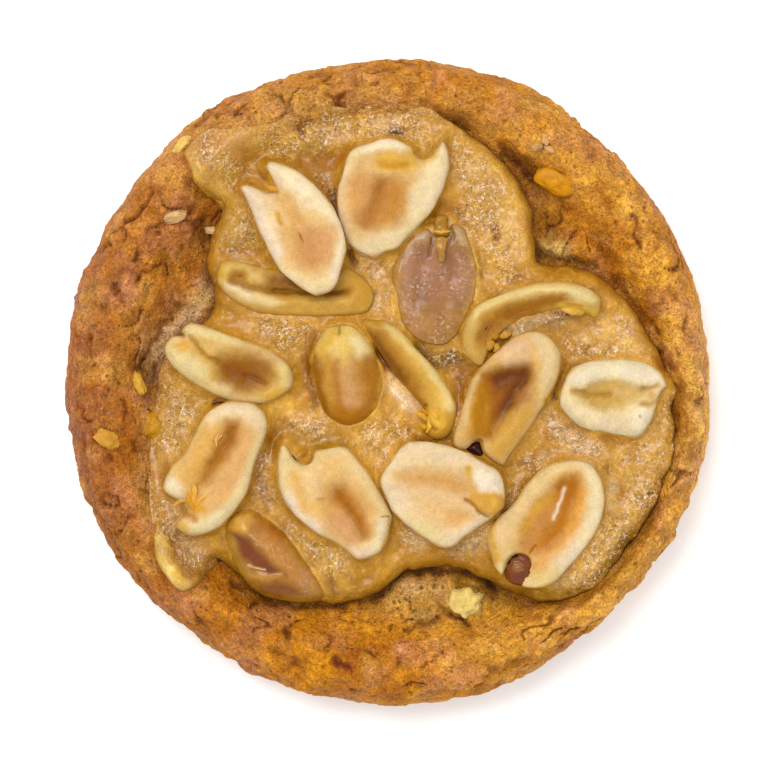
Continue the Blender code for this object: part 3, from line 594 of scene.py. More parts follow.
# Upper left, with a forked germ end.
HALF_01 = Half((
    (-15.9, 20.8), (-15.2, 21.1), (-14.1, 20.7), (-13.1, 20.3), (-12.4, 20.4), (-12.1, 21), (-12.8, 22.5),
    (-13.1, 23.3), (-12.2, 23.6), (-9.5, 22.5), (-6.7, 19.8), (-5, 16.7), (-4.5, 14.6), (-5, 12),
    (-5.9, 9.9), (-7.2, 9.3), (-8.6, 9.5), (-11.5, 11.8), (-13.5, 15.4), (-15, 19),
), z=13.7, lean=(0.083, -0.135), crown=0.8, below=2.2, colours=("F1D4A2", "F8E8CC"), marks=(
    Patch("D9A267", 3, 0.95, -0.45, ((-10.2, 17.2), (-8.5, 17.1), (-5.5, 16.3), (-5.2, 14.5), (-6.2, 12.7),
        (-8, 11.9), (-9.6, 12.3), (-10.7, 14), (-10.9, 15.8))),
    Streak("C88E50", 1.2, 0.6, -0.1, ((-8.6, 14.8), (-8.2, 13))),
    Patch("E9BC78", 1.6, 0.8, 0, ((-11.6, 16.8), (-10.9, 16.8), (-10.3, 14.5), (-10.2, 12.6), (-10.9, 12.2),
        (-11.6, 14.2))),
    Streak("E3B474", 0.9, 0.9, -0.3, ((-12.6, 21), (-11.3, 19.6), (-10.2, 18), (-9.6, 17))),
    Streak("E2B468", 0.5, 0.8, -0.2, ((-13.4, 20.9), (-12.4, 20.9))),
    Patch("FAEFDA", 1.4, 0.8, 0.1, ((-13, 23.4), (-11.2, 23.2), (-8.5, 21.4), (-6.6, 19.2), (-5.3, 17),
        (-7, 18), (-9.3, 19.4), (-11.6, 21.4))),
    Streak("F6E6DA", 0.9, 0.8, 0.1, ((-15.2, 20.4), (-14, 18.4), (-13.2, 16.5), (-12, 13.8))),
    Streak("F4E8D2", 0.6, 0.8, 0, ((-4.9, 14.6), (-5.4, 12.4), (-6, 10.8))),
    Streak("F2E0B4", 0.8, 0.7, 0, ((-9.4, 10.6), (-7.4, 9.9), (-6.4, 10.2))),
    Streak("D9A23A", 0.3, 0.95, 0.1, ((-11.8, 17.9), (-11.6, 16.9))),
    Streak("A87840", 0.1, 0.8, -0.1, ((-9.6, 15.9), (-9.2, 15))),
    Streak("E6C088", 0.4, 0.5, 0, ((-8.6, 19.6), (-8.2, 19.4))),
))

# Top, broad and horned.
HALF_02 = Half((
    (-4, 24.8), (-1.6, 25.7), (0.2, 26.1), (2.3, 25.3), (2.9, 24.3), (3.8, 23.9), (4.9, 24.5), (6, 25.8),
    (6.6, 23.9), (6.3, 21.9), (4.8, 18.4), (2.2, 15.6), (1, 14.3), (-0.3, 13.9), (-1.8, 13.4), (-4.4, 15),
    (-5.5, 19), (-4.8, 22.5),
), z=13.1, lean=(-0.021, 0.045), crown=0.8, below=2.6, colours=("E8C288", "F4E2BC"), marks=(
    Patch("DEA668", 1.9, 0.85, -0.1, ((-4.6, 21.6), (-2.8, 22.6), (-1.4, 21.6), (-1.8, 18.6), (-2.6, 16.8),
        (-4, 17.4), (-4.8, 19.5))),
    Patch("CC9246", 1.8, 0.95, -0.45, ((-1.2, 21.8), (0.6, 22), (2, 21), (1.9, 18.5), (1.2, 16.7),
        (-0.8, 16.2), (-2.3, 16.6), (-1.6, 19))),
    Streak("B07434", 0.9, 0.75, -0.2, ((-0.7, 21.2), (-1.2, 19.8), (-1.8, 18.4), (-2.6, 17.2))),
    Patch("E4B858", 1.1, 0.9, -0.15, ((-1.5, 24.7), (0.6, 24.9), (2.4, 24.4), (3.4, 23.2), (2.6, 22.4),
        (0.6, 22.6), (-1.2, 23.2))),
    Streak("D0962A", 0.45, 0.85, -0.1, ((-0.6, 23.3), (0.8, 23.1), (1.9, 23.3))),
    Patch("FBF1DA", 1.1, 0.85, 0.15, ((-3.2, 25.1), (-1.2, 25.9), (1, 25.9), (2.1, 25.2), (1.2, 24.8),
        (-1, 24.9), (-2.6, 24.4))),
    Patch("F4E8CA", 1.6, 0.85, 0.05, ((2.6, 20.6), (4, 22.8), (5.6, 25.2), (6.4, 24.6), (6.1, 21.8),
        (4.8, 18.7), (3, 16.4), (2.2, 17.6))),
    Streak("EFCFAA", 0.7, 0.7, 0, ((-5.2, 20.5), (-5, 17.6), (-4.2, 15.6))),
    Streak("F4E6C8", 1, 0.8, 0, ((-3.2, 14.4), (-0.6, 14.9), (1.8, 16))),
    Streak("DDB04C", 0.6, 0.85, 0, ((2.6, 24.2), (3.8, 23.8), (4.8, 24.2))),
    Streak("A06C1C", 0.16, 0.8, -0.1, ((2.9, 24.6), (3.7, 24), (4.6, 24.3))),
    Streak("FFF6E4", 0.2, 0.9, 0.1, ((-3.4, 24.3),)),
))

# Below the second, in its glazed skin.
HALF_03 = Half((
    (4.2, 16.4), (2.4, 15.6), (0.8, 12.8), (0.5, 10.8), (1.5, 6.6), (3, 4.6), (5.2, 3.9), (6.8, 4.4),
    (8.7, 7.3), (9.6, 11.6), (8.5, 15.7), (7.6, 16.8), (6.9, 16.9), (6.3, 16), (4.9, 15.9),
), z=11.9, crown=0.4, below=2.6, colours=("A6764C", "B8884A"), marks=(
    # A pinkish patch, partly the skin's colour and partly a painted sheen.
    Patch("BA8474", 3, 0.6, 0, ((2.2, 13.4), (4.6, 14.2), (7, 13.8), (8.2, 11.4), (7.4, 9.2), (5.4, 8.8),
        (3.2, 9.4), (2, 10.8))),
    Streak("C08A44", 1.2, 0.6, 0, ((3.2, 6.4), (5.4, 5.4), (6.6, 6.8))),
    Streak("D0A058", 0.35, 0.85, 0.1, ((9.2, 14.4), (9.4, 11.6), (9, 8.6), (8.2, 6.6))),
    Streak("CA9A50", 0.35, 0.8, 0.1, ((1.1, 13), (0.9, 10.2), (1.4, 7.6))),
    Streak("D2B49C", 0.55, 0.85, 0.1, ((3.4, 15.5), (4.3, 15.8))),
    Streak("D2B49C", 0.55, 0.85, 0.1, ((7.4, 16.2), (8, 15.3))),
    Streak("7A4C24", 0.2, 0.8, -0.1, ((4.8, 15.5), (4.5, 14.2), (4.4, 13.4))),
    Streak("8A5A20", 0.2, 0.8, -0.1, ((6.9, 16.5), (6.8, 15))),
    Streak("8C5A3C", 0.9, 0.5, -0.1, ((3.2, 12.6), (2.8, 9))),
    Streak("8C5A3C", 0.7, 0.5, -0.1, ((6.6, 13.2), (6.9, 11))),
    Streak("C89884", 0.9, 0.5, 0.1, ((8.2, 12.4), (8.4, 9.6))),
    Streak("C89884", 1, 0.4, 0.1, ((2.2, 12.6), (1.9, 8.2), (3.4, 5.8))),
), skin=True, wetted=-0.1, glints=(
    (1.2, 1, ((2.6, 9.4), (4.2, 11))),
    (1.1, 1, ((1.7, 8.2), (3, 6.4))),
    (1, 1, ((5.2, 4.8), (6.2, 6.4))),
    (0.9, 1, ((8.2, 9.2), (8.6, 12))),
    (0.8, 0.9, ((5.8, 9.4), (6.6, 9.8))),
    (0.6, 0.9, ((5.6, 12), (5.8, 11.2))),
    (1, 0.6, ((2, 13), (3.6, 14.6))),
    (0.8, 0.6, ((8.2, 14.4), (8.6, 13))),
))

# Upper left, long and sunk in the praline.
HALF_04 = Half((
    (-18.1, 12.7), (-16.8, 13), (-13, 12.2), (-10.6, 12.1), (-5.4, 12.5), (-2.7, 11.2), (-1.5, 9.4),
    (-1.8, 8), (-3, 7.2), (-7.9, 7), (-13.4, 7.3), (-16.6, 8.6), (-18.4, 10.6),
), z=11.6, crown=1.0, below=2.5, colours=("CFA250", "DDB458"), marks=(
    Patch("EBCF80", 1.1, 0.85, 0.1, ((-17.8, 12.4), (-16.8, 12.9), (-15, 12.6), (-14.6, 12), (-16.2, 12),
        (-17.6, 11.6))),
    Patch("E6C884", 1.2, 0.8, 0.1, ((-15.2, 11.9), (-13.6, 12), (-12.6, 11.4), (-13.4, 10.5), (-15, 10.6))),
    Streak("B07C30", 0.7, 0.9, -0.3, ((-16.4, 11.4), (-15.9, 11.3))),
    Streak("7A4A10", 0.2, 0.7, -0.1, ((-16, 11.35),)),
    Patch("F3DDA8", 1.2, 0.9, 0.2, ((-18.1, 10.9), (-17, 10.5), (-15, 9.9), (-12.8, 9.3), (-11, 8.4),
        (-12.8, 7.7), (-15.2, 8.4), (-17.2, 9.6))),
    Streak("F6E6C2", 0.5, 0.8, 0.05, ((-17.2, 10.1), (-15, 9.4))),
    Streak("70461A", 0.26, 0.7, -0.3, ((-12.5, 9.75), (-9.5, 9.5), (-6.6, 9.5), (-4.2, 9.75))),
    Streak("A87838", 0.4, 0.85, -0.25, ((-16.9, 10.75), (-15, 10.15), (-13, 9.85), (-11, 9.6))),
    # The brown trough, darker at its right as painted shadow of the first half, which lies over it.
    Patch("8A5826", 2.2, 0.9, -0.3, ((-13, 11.4), (-10.6, 11.6), (-8.4, 10.6), (-6, 9.9), (-4, 9.9),
        (-4.4, 9.4), (-8, 9.3), (-11.5, 9.7), (-13, 10.2))),
    # Painted highlight along the lower lip.
    Streak("E4BA62", 0.55, 0.75, 0.15, ((-11, 8.5), (-7, 8.4), (-4, 8.6))),
    Streak("E0B458", 0.55, 0.8, 0.1, ((-16, 8.1), (-13, 7.35), (-9, 7.15), (-5, 7.2))),
    Patch("D0A040", 1.2, 0.7, 0.05, ((-4.6, 11.6), (-3.4, 11.4), (-2.2, 10), (-2.2, 8.6), (-3.6, 8.2),
        (-4.4, 9.4))),
    Streak("EED8A0", 0.12, 0.8, 0.1, ((-14.2, 12.6), (-13.4, 12.3))),
))

# Left.
HALF_05 = Half((
    (-22.2, 5.4), (-21.7, 6.1), (-20.6, 6.2), (-17.1, 4.9), (-13.2, 3.5), (-10.9, 1.9), (-10.3, 0.1),
    (-10.9, -1.2), (-13, -2.3), (-16, -2.4), (-19.5, -1.1), (-22.8, 1.1), (-24.1, 3.2), (-23.5, 4.6),
    (-22.7, 4.9), (-21.9, 4.8),
), z=12.3, crown=0.9, below=2.8, colours=("E0B868", "EED9A4"), marks=(
    Patch("F2E2B0", 1.4, 0.85, 0.1, ((-21.9, 5.6), (-20.4, 5.9), (-17.5, 4.9), (-15.6, 4.2), (-17, 3.9),
        (-19.4, 4.5), (-21.2, 4.9))),
    Patch("E2C07C", 1.2, 0.8, 0, ((-20.6, 4.4), (-18, 4.2), (-15.6, 3.4), (-16.5, 2.9), (-19, 2.9),
        (-20.2, 3.4))),
    Patch("D8AC72", 1.6, 0.8, 0.05, ((-15.4, 4.1), (-13.4, 3.3), (-11.8, 2.2), (-12.6, 1.8), (-14.6, 2.4),
        (-16, 3.2))),
    Patch("F0E2B4", 1.4, 0.85, 0.15, ((-23.8, 3.4), (-22.8, 3.2), (-21.2, 2.8), (-19.4, 1.4), (-19.4, 0),
        (-21, 0.2), (-23, 1.4))),
    Streak("B88A3C", 0.25, 0.8, -0.25, ((-21.3, 4.8), (-20.5, 3.6), (-19.5, 2.6), (-18.3, 1.9))),
    Patch("9A6224", 2.4, 0.95, -0.55, ((-18.6, 2.4), (-16.6, 2.9), (-14.2, 2.6), (-12.4, 1.4), (-12.8, -0.4),
        (-14.6, -1.4), (-16.6, -1.4), (-18.2, -0.2))),
    Streak("8A5014", 0.9, 0.6, -0.1, ((-17.3, 1.2), (-15.2, 0.6))),
    Patch("AC7640", 1.4, 0.6, 0, ((-14.6, 2.4), (-13, 2.1), (-12.4, 0.8), (-13.4, 0.6), (-14.4, 1.2))),
    Streak("7E4A18", 0.3, 0.6, -0.1, ((-15.4, 0.6), (-14.3, 0.4), (-13.4, -0.2))),
    Streak("F0D8A8", 0.6, 0.85, 0.1, ((-18.6, -0.5), (-17.2, -0.9))),
    Streak("EED898", 0.6, 0.8, 0.1, ((-11.2, 1.6), (-11, -0.6))),
    Patch("DDAE4A", 1.2, 0.85, 0.1, ((-14, -1.2), (-11.8, -0.6), (-10, -1.2), (-10.4, -2.2), (-13, -2.6))),
    Streak("E5AC50", 0.55, 0.9, 0.1, ((-22.1, 3.7), (-21.9, 3.9))),
))

# Middle, round back up.
HALF_06 = Half((
    (-4.4, 6.3), (-6.9, 5.7), (-8.2, 3.1), (-8, -0.4), (-6.7, -3.8), (-4, -5), (-1.4, -3.5), (-0.4, -0.2),
    (-1.3, 3.1), (-3, 5.6),
), z=11.4, lean=(0.0, 0.03), crown=1.8, below=3.0, colours=("BE883C", "B07A30"), marks=(
    # A pale cap on top, partly its own colour and partly painted light.
    Patch("F0D684", 2.2, 0.95, 0, ((-7.9, 4), (-6.8, 5.9), (-4.4, 6.5), (-2.4, 5.6), (-1.2, 3.4),
        (-2.2, 2.2), (-3.6, 2.8), (-5, 1.8), (-6.6, 2.8), (-7.6, 2.2))),
    # Painted highlight on the cap.
    Patch("F6EAC0", 1.4, 0.85, 0.05, ((-4.2, 4.6), (-3.2, 5), (-2.2, 3.8), (-2.4, 2.4), (-3.6, 2.8))),
    Streak("E2B64C", 0.6, 0.8, 0.05, ((-5.6, 5), (-6.8, 3.8), (-7.2, 2.8))),
    Streak("8A6A28", 0.12, 0.7, -0.1, ((-5.2, 5.9), (-5.2, 5))),
    Streak("B0762A", 0.8, 0.8, -0.05, ((-2.2, 2.2), (-1.7, 0), (-2, -2.6))),
    Streak("DCAC78", 1.15, 0.9, 0.1, ((-4.6, 2.2), (-4.5, 0.4), (-3.9, -2.4))),
    Streak("EACA70", 0.7, 0.8, 0.05, ((-4.9, 3.6), (-4.9, 2.3))),
    Streak("B47C3C", 0.45, 0.7, -0.05, ((-5.6, 1.8), (-5.5, -0.8), (-5.2, -3))),
    Streak("D0A04C", 0.5, 0.8, 0.05, ((-6.6, 2.4), (-6.5, -0.6), (-6, -3))),
    Streak("9A6420", 0.4, 0.7, 0, ((-7.8, 2.6), (-7.5, -0.6), (-6.6, -3.2))),
    Streak("DCAC50", 0.28, 0.8, 0.05, ((-0.75, 1.6), (-0.8, -0.8), (-1.3, -3))),
    # An amber area at the bottom, partly its own colour and partly painted shade.
    Patch("B8780C", 1.4, 0.9, 0, ((-6.2, -2.6), (-4.6, -3), (-2.4, -3), (-2.6, -4.3), (-3.6, -4.9),
        (-5, -4.9))),
), shoulder=3.6, wetted=0.7)

# Right of the sixth, on its side.
HALF_07 = Half((
    (-2.8, 6.4), (-1.2, 6.6), (0, 6.4), (2.7, 3.8), (5.7, 0.5), (7.3, -2.3), (7.3, -4), (6.8, -5.5),
    (5.7, -6.3), (4.6, -6.1), (3.9, -5), (3.8, -2.9), (1.3, -0.1), (-1, 3.3),
), z=12.3, crown=1.0, below=2.3, colours=("D6A654", "C8963C"), marks=(
    Streak("E6BC58", 1.3, 0.9, 0, ((1, 4.6), (3.2, 2), (5.2, -0.8), (6, -3))),
    # Painted highlight along the right rim.
    Streak("F8E2A0", 0.6, 0.95, 0.15, ((0, 5.9), (1.2, 5), (2.8, 3.4), (4.2, 1.8), (6.1, -1), (6.6, -2.8))),
    Streak("B07C30", 1, 0.8, 0, ((-1, 5.2), (0.4, 3.4), (2, 1.2), (3.2, -0.6))),
    # Painted shadow along the left side of the hollow, which also sinks a little.
    Streak("7A4C18", 0.6, 0.9, -0.3, ((-2, 5.2), (-0.9, 3.6), (0.6, 1.6), (1.8, -0.2))),
    Streak("9A6424", 0.5, 0.7, -0.1, ((2.2, -0.8), (3.6, -2.4))),
    Streak("D4A448", 0.7, 0.8, 0, ((-2.6, 6.3), (-1.2, 6.3))),
    Patch("E4B448", 0.9, 0.85, 0.2, ((3.8, -3.2), (5.2, -2.8), (6.4, -3.4), (6.4, -5.2), (5.2, -6),
        (4.2, -5.4))),
    Streak("F0CE60", 0.3, 0.8, 0.15, ((4.6, -3.6), (5.4, -4.6))),
    Streak("7A4208", 0.25, 0.9, -0.2, ((4, -2.7),)),
    Streak("A86E18", 0.25, 0.8, -0.15, ((4.2, -4.6), (5, -5.2))),
), spine=((-1.2, 5.2), (1.6, 2.2), (4.0, -0.6), (5.3, -3.0), (5.6, -4.8)), wetted=0.1)

# Upper right, a crescent on its side.
HALF_08 = Half((
    (10.1, 1.6), (8.5, 2.8), (8, 4.9), (9.2, 7.8), (12.4, 9.4), (16.2, 10.6), (20.2, 10.5), (22.7, 9.2),
    (22.9, 7.9), (22.4, 6.8), (21.2, 7.3), (19.2, 7.7), (16.7, 7.4), (13.2, 6), (11.1, 3.8),
), z=12.4, crown=1.0, below=2.5, colours=("C89848", "DDB868"), marks=(
    Patch("E9CE84", 1.2, 0.85, 0.15, ((9.6, 8), (12.6, 9.2), (15.6, 10.2), (18.6, 10.5), (21.4, 10),
        (20.6, 9.4), (17.6, 9.7), (14.6, 9), (11.4, 7.9), (9.6, 7.2))),
    # Painted highlight along the ridge.
    Streak("F4E2A6", 0.45, 0.9, 0.15, ((8.7, 6), (9.8, 7.8), (12.2, 9), (15.6, 9.9), (19.1, 10.1),
        (21.6, 9.3))),
    # Painted shade below the ridge.
    Streak("A06E30", 0.7, 0.8, -0.1, ((10.2, 5.4), (12, 7.1), (15.6, 8.3), (18.8, 8.7))),
    Patch("EBDCA4", 1.1, 0.9, 0.15, ((19.8, 10.1), (21.8, 9.8), (22.7, 8.8), (22.2, 8.2), (20.4, 8.5),
        (19.4, 9.2))),
    Patch("A87024", 1.4, 0.9, -0.2, ((11.6, 6.9), (13.4, 7.9), (16.2, 8.5), (18.6, 8.7), (18.4, 8.1),
        (15.6, 7.4), (12.8, 6.3))),
    Streak("986020", 0.6, 0.7, -0.1, ((13.2, 6.7), (15.8, 7.4))),
    Patch("D8B468", 1.2, 0.8, 0.1, ((8.2, 6.2), (9.2, 7), (10, 6), (9.4, 4), (10, 2.4), (8.9, 2.6),
        (8.2, 4))),
    Streak("AA7232", 0.8, 0.85, -0.1, ((10.2, 4.6), (10.9, 5.6), (11.9, 6))),
    Streak("D8983A", 0.3, 0.8, 0.1, ((11.2, 7),)),
    Streak("E0B850", 0.5, 0.85, 0.1, ((18.6, 7.9), (20.4, 7.9), (22, 7.3))),
    Streak("C08C30", 0.15, 0.7, -0.1, ((19.4, 8.2), (21, 8))),
), spine=((9.5, 3.4), (10.3, 5.9), (12.8, 7.7), (16.5, 9.0), (20.0, 9.1), (21.8, 8.5)), wetted=0.0)

# Right of the middle, deeply stained.
HALF_09 = Half((
    (12.5, 3.9), (13.8, 4.9), (15.4, 5.4), (17, 5.1), (18.5, 3.2), (18.3, 0.3), (16, -3.9), (13.3, -7.8),
    (12.4, -9.1), (11.2, -8.5), (10.3, -7.5), (10.1, -6.3), (9.2, -6.5), (8.2, -7.4), (7, -6.7), (7.8, -3.6),
    (8.9, -0.1), (10.6, 2.2),
), z=12.8, crown=0.9, below=2.3, colours=("DDB06C", "E6C48C"), marks=(
    Patch("EAC7A2", 1.6, 0.85, 0.05, ((11.5, 3.2), (12.6, 4.2), (15, 4.7), (15.6, 3), (15.2, 1.4),
        (12.4, 1.4))),
    Patch("EED8AC", 1.4, 0.9, 0.1, ((15.2, 5.2), (17.2, 4.9), (18.4, 3), (18.1, 0.4), (16.8, -2),
        (16.2, -0.6), (16.4, 1.8), (15.8, 3.6))),
    Patch("A2620A", 1.7, 0.95, -0.6, ((9.8, 0.8), (12.4, 1.3), (15.2, 1.6), (15.3, 0.3), (14.4, -1.2),
        (13.4, -3), (12.8, -4.6), (11.2, -6.2), (10, -6.4), (9.6, -3))),
    Streak("663600", 1.1, 0.8, -0.1, ((12, 0.2), (14.5, 0.9), (14.5, 0.1), (13.4, -1.6), (12.6, -3.4))),
    Patch("C0860A", 1.6, 0.9, 0, ((9.2, -0.2), (10.6, -0.6), (11.2, -2.4), (11, -5), (9.9, -6.4),
        (8.8, -6.2), (8.6, -3.2))),
    Streak("E8C894", 0.45, 0.85, 0.1, ((9.2, 0.2), (8.6, -2.2), (8.1, -4.4))),
    Patch("BC8450", 1.2, 0.75, 0.05, ((13.9, -1.2), (15.4, -0.6), (15.3, -2), (14.3, -3.1), (13.4, -2.2))),
    Patch("DCAE54", 1.4, 0.85, 0.1, ((12.6, -3.6), (14.8, -2.6), (15.8, -3.4), (14.4, -5.8), (12.9, -7.9),
        (11.8, -8.6), (11, -7), (11.8, -5))),
    Streak("E8CC90", 0.5, 0.7, 0.05, ((16.8, -0.6), (16.4, -2.2))),
    Streak("DDA030", 0.22, 0.9, 0.05, ((16.9, -1.8), (16.8, -2.1))),
    Streak("B07818", 0.15, 0.8, -0.1, ((13.9, -7.8),)),
    Streak("7A4A10", 0.12, 0.8, -0.1, ((12.7, -0.6),)),
))

# Far right, short and pale.
HALF_10 = Half((
    (18.5, -2.1), (18.8, -0.5), (20, 1.4), (22.7, 2.3), (27, 2.1), (29.2, 1), (30, -0.5), (29.3, -1.3),
    (28.5, -4), (27.6, -5.4), (26.4, -6), (22.7, -5.4), (20.2, -4.5), (18.8, -3.1),
), z=12.7, crown=0.8, below=2.8, colours=("EDD8A8", "F3E6C2"), marks=(
    Patch("F5EDD8", 1.4, 0.9, 0.1, ((19.6, 0.4), (21.5, 1.7), (24, 2.1), (27.5, 1.9), (29.4, 0.7),
        (29.6, -0.3), (27, -0.4), (24.5, 0.3), (22, 0.1), (20.6, -0.5))),
    Patch("F3E2C8", 1.6, 0.8, 0.1, ((19, -1.8), (21, -3), (24, -3.9), (27, -3.2), (28.8, -2.8), (27.8, -5.4),
        (25, -5.8), (21.4, -4.9), (19.2, -3.4))),
    Patch("D3AA58", 1.2, 0.9, -0.45, ((20.4, -1.1), (22, -0.2), (24, 0), (25.8, -0.5), (27.4, -0.9),
        (27.4, -1.7), (25.2, -2.6), (23.2, -3.2), (21.6, -2.6))),
    Streak("B88A38", 0.34, 0.75, -0.2, ((19.9, -1.2), (21.1, -1.35), (22.4, -1.55), (23.9, -1.6))),
    Streak("E8C888", 0.55, 0.7, 0.05, ((24.6, -1.3), (27, -1.4))),
    Streak("F9F3E4", 0.9, 0.8, 0.05, ((27.2, -3.6), (26.8, -5))),
    Streak("C0924A", 0.36, 0.8, -0.15, ((27.3, -0.9), (28.1, -0.75), (28.9, -0.6))),
    Streak("C0924A", 0.36, 0.8, -0.15, ((27.4, -2.5), (28.2, -2.5), (29.2, -1.9))),
    Streak("DBA862", 0.5, 0.85, -0.1, ((28.3, -1.5),)),
    Streak("7A6048", 0.12, 0.8, 0, ((27.05, -3.85),)),
    Streak("A08A60", 0.12, 0.7, 0, ((19.8, -0.4),)),
))

# Lower left.
HALF_11 = Half((
    (-16, -2.2), (-17.6, -2.3), (-19.6, -3.6), (-21, -6.2), (-22.1, -8.1), (-23.4, -9.4), (-24.1, -10.8),
    (-24, -11.9), (-22.9, -12.7), (-22, -13.3), (-21.9, -14.3), (-22.7, -15.3), (-22.5, -16), (-21, -16.6),
    (-18.2, -15.7), (-15.5, -12.5), (-14.2, -8.6), (-13, -5.1), (-13.3, -3.5), (-14.5, -2.4),
), z=13.1, crown=0.9, below=2.7, colours=("E9BE7C", "ECD09C"), marks=(
    Patch("F4E2C8", 2.2, 0.9, 0.05, ((-19.6, -3.6), (-17.5, -2.2), (-15, -2.1), (-13.2, -3.6), (-13, -5.6),
        (-14.1, -5.4), (-15.4, -4.2), (-17.5, -4), (-19.2, -4.9))),
    Patch("E8B866", 1.9, 0.85, 0, ((-20.2, -5), (-18.4, -4.6), (-18, -6.6), (-19.4, -9), (-20.8, -11.4),
        (-22.5, -11), (-22.3, -9), (-21, -7))),
    Patch("B67A2C", 1.9, 0.95, -0.5, ((-17.4, -4.6), (-16.1, -4.4), (-16, -5.8), (-16.8, -7.6), (-18, -9.4),
        (-19.4, -11.2), (-20.5, -11.5), (-20.2, -9.8), (-18.9, -7.8), (-18, -6))),
    Streak("A2661E", 0.6, 0.6, -0.15, ((-16.8, -5.2), (-17.6, -6.9), (-18.9, -9))),
    Patch("E4B07A", 2.2, 0.85, 0, ((-15.6, -5.4), (-14.3, -5.8), (-14.9, -8), (-16, -10.8), (-17.6, -12.8),
        (-19, -12.4), (-17.6, -10), (-16.2, -7.8))),
    Streak("F2E2B8", 0.7, 0.85, 0.05, ((-13.6, -6.2), (-14.6, -8.8), (-15.7, -11.6), (-17.2, -13.9),
        (-19.4, -15.5), (-21.2, -15.9))),
    Patch("F4E8C4", 1.2, 0.8, 0.05, ((-21.6, -16.2), (-19.5, -16.2), (-17.3, -14.8), (-16, -12.9),
        (-17.4, -13.6), (-19.4, -14.8), (-21, -15))),
    Patch("F6EAD2", 1.2, 0.95, 0.1, ((-23.9, -10.4), (-22.8, -10.2), (-22.1, -11.4), (-22.3, -12.6),
        (-23.4, -12.3), (-24.1, -11.6))),
    Patch("E6A838", 0.7, 0.9, 0.15, ((-21.6, -11.9), (-20.7, -11.4), (-20.2, -12.6), (-19.6, -13.8),
        (-20.9, -14.4), (-21.7, -13.4))),
    # Painted shade in the hole at the germ end, which also sinks, and a painted shadow below it.
    Streak("3A1C04", 0.45, 0.95, -0.6, ((-22.1, -13.9),)),
    Streak("B8782A", 0.4, 0.8, -0.2, ((-21.6, -14.3), (-20.9, -14.9))),
    Streak("E2B454", 0.55, 0.8, 0, ((-22.5, -15.5), (-21.8, -16))),
))

# Lower middle.
HALF_12 = Half((
    (-11.7, -7.3), (-11.2, -6.8), (-10.6, -7.5), (-10.1, -8.5), (-9.1, -9), (-8.2, -8.6), (-7.9, -7.6),
    (-6.8, -7.3), (-4.7, -7.1), (-3.9, -7.7), (-1.6, -10.7), (0.3, -14.1), (0.2, -16.2), (-0.4, -18),
    (-1.7, -18.9), (-3.3, -19.2), (-4.8, -18), (-8.6, -15.7), (-11.3, -12.7), (-11.9, -9.7),
), z=12.8, crown=0.9, below=2.8, colours=("EFCB8C", "F2DEB0"), marks=(
    Patch("F2E0B0", 1.4, 0.8, 0.05, ((-11.7, -7.4), (-10.9, -7.4), (-10.2, -9.2), (-10.4, -11),
        (-11.2, -12.2), (-11.8, -10))),
    Streak("EBBC70", 0.9, 0.8, 0, ((-9.9, -10.4), (-9.5, -11.8), (-9.1, -13.4))),
    Patch("F5D8A8", 1.2, 0.85, 0.15, ((-9.2, -9.2), (-8.4, -9.3), (-7.2, -11), (-6.9, -12.6), (-8.3, -13),
        (-9, -11.6), (-9.2, -10))),
    Patch("D9A264", 3, 0.9, -0.3, ((-6.9, -11.4), (-4.8, -10.6), (-2.8, -12), (-1.5, -14), (-1.9, -16.4),
        (-3.4, -17.5), (-5.4, -16.7), (-6.8, -14.8), (-7.4, -13))),
    Patch("AE6C18", 1.6, 0.95, -0.35, ((-5.9, -11.4), (-4.7, -11.5), (-3.7, -12.9), (-2.7, -14.6),
        (-2, -16.8), (-2.7, -17), (-3.6, -15.4), (-4.7, -13.9), (-5.9, -12.9))),
    Patch("DBA97C", 1.8, 0.8, 0, ((-6.4, -14.6), (-4.8, -14.3), (-3.5, -16), (-2.9, -17.6), (-4, -18.1),
        (-5.6, -17), (-6.8, -16))),
    Streak("F0D8A2", 0.8, 0.85, 0, ((-3.8, -9), (-2.2, -10.8), (-0.8, -12.9), (-0.2, -14.4))),
    Streak("F8EAE0", 0.7, 0.85, 0, ((-10.9, -12.4), (-10.2, -14), (-8.9, -15.2), (-7.7, -15.9))),
    Streak("F6ECD2", 0.7, 0.9, 0, ((-0.6, -15.4), (-0.6, -16.8), (-1.4, -18.1))),
    Streak("D0A038", 0.28, 0.8, 0, ((0.25, -14.9), (0.1, -16.6), (-0.5, -17.9))),
    Streak("F2DCCC", 0.8, 0.85, 0, ((-3.5, -18.5), (-2.4, -18.5))),
    Streak("7A5A20", 0.1, 0.8, -0.1, ((-0.8, -14.7), (-0.3, -14.5), (0.1, -14.5))),
    Streak("C9A050", 0.2, 0.7, 0, ((-7.6, -12.7), (-7.1, -12.6))),
    Streak("D8A868", 0.1, 0.7, 0.1, ((-4.7, -14.2), (-3.9, -15), (-3.1, -16.2))),
))

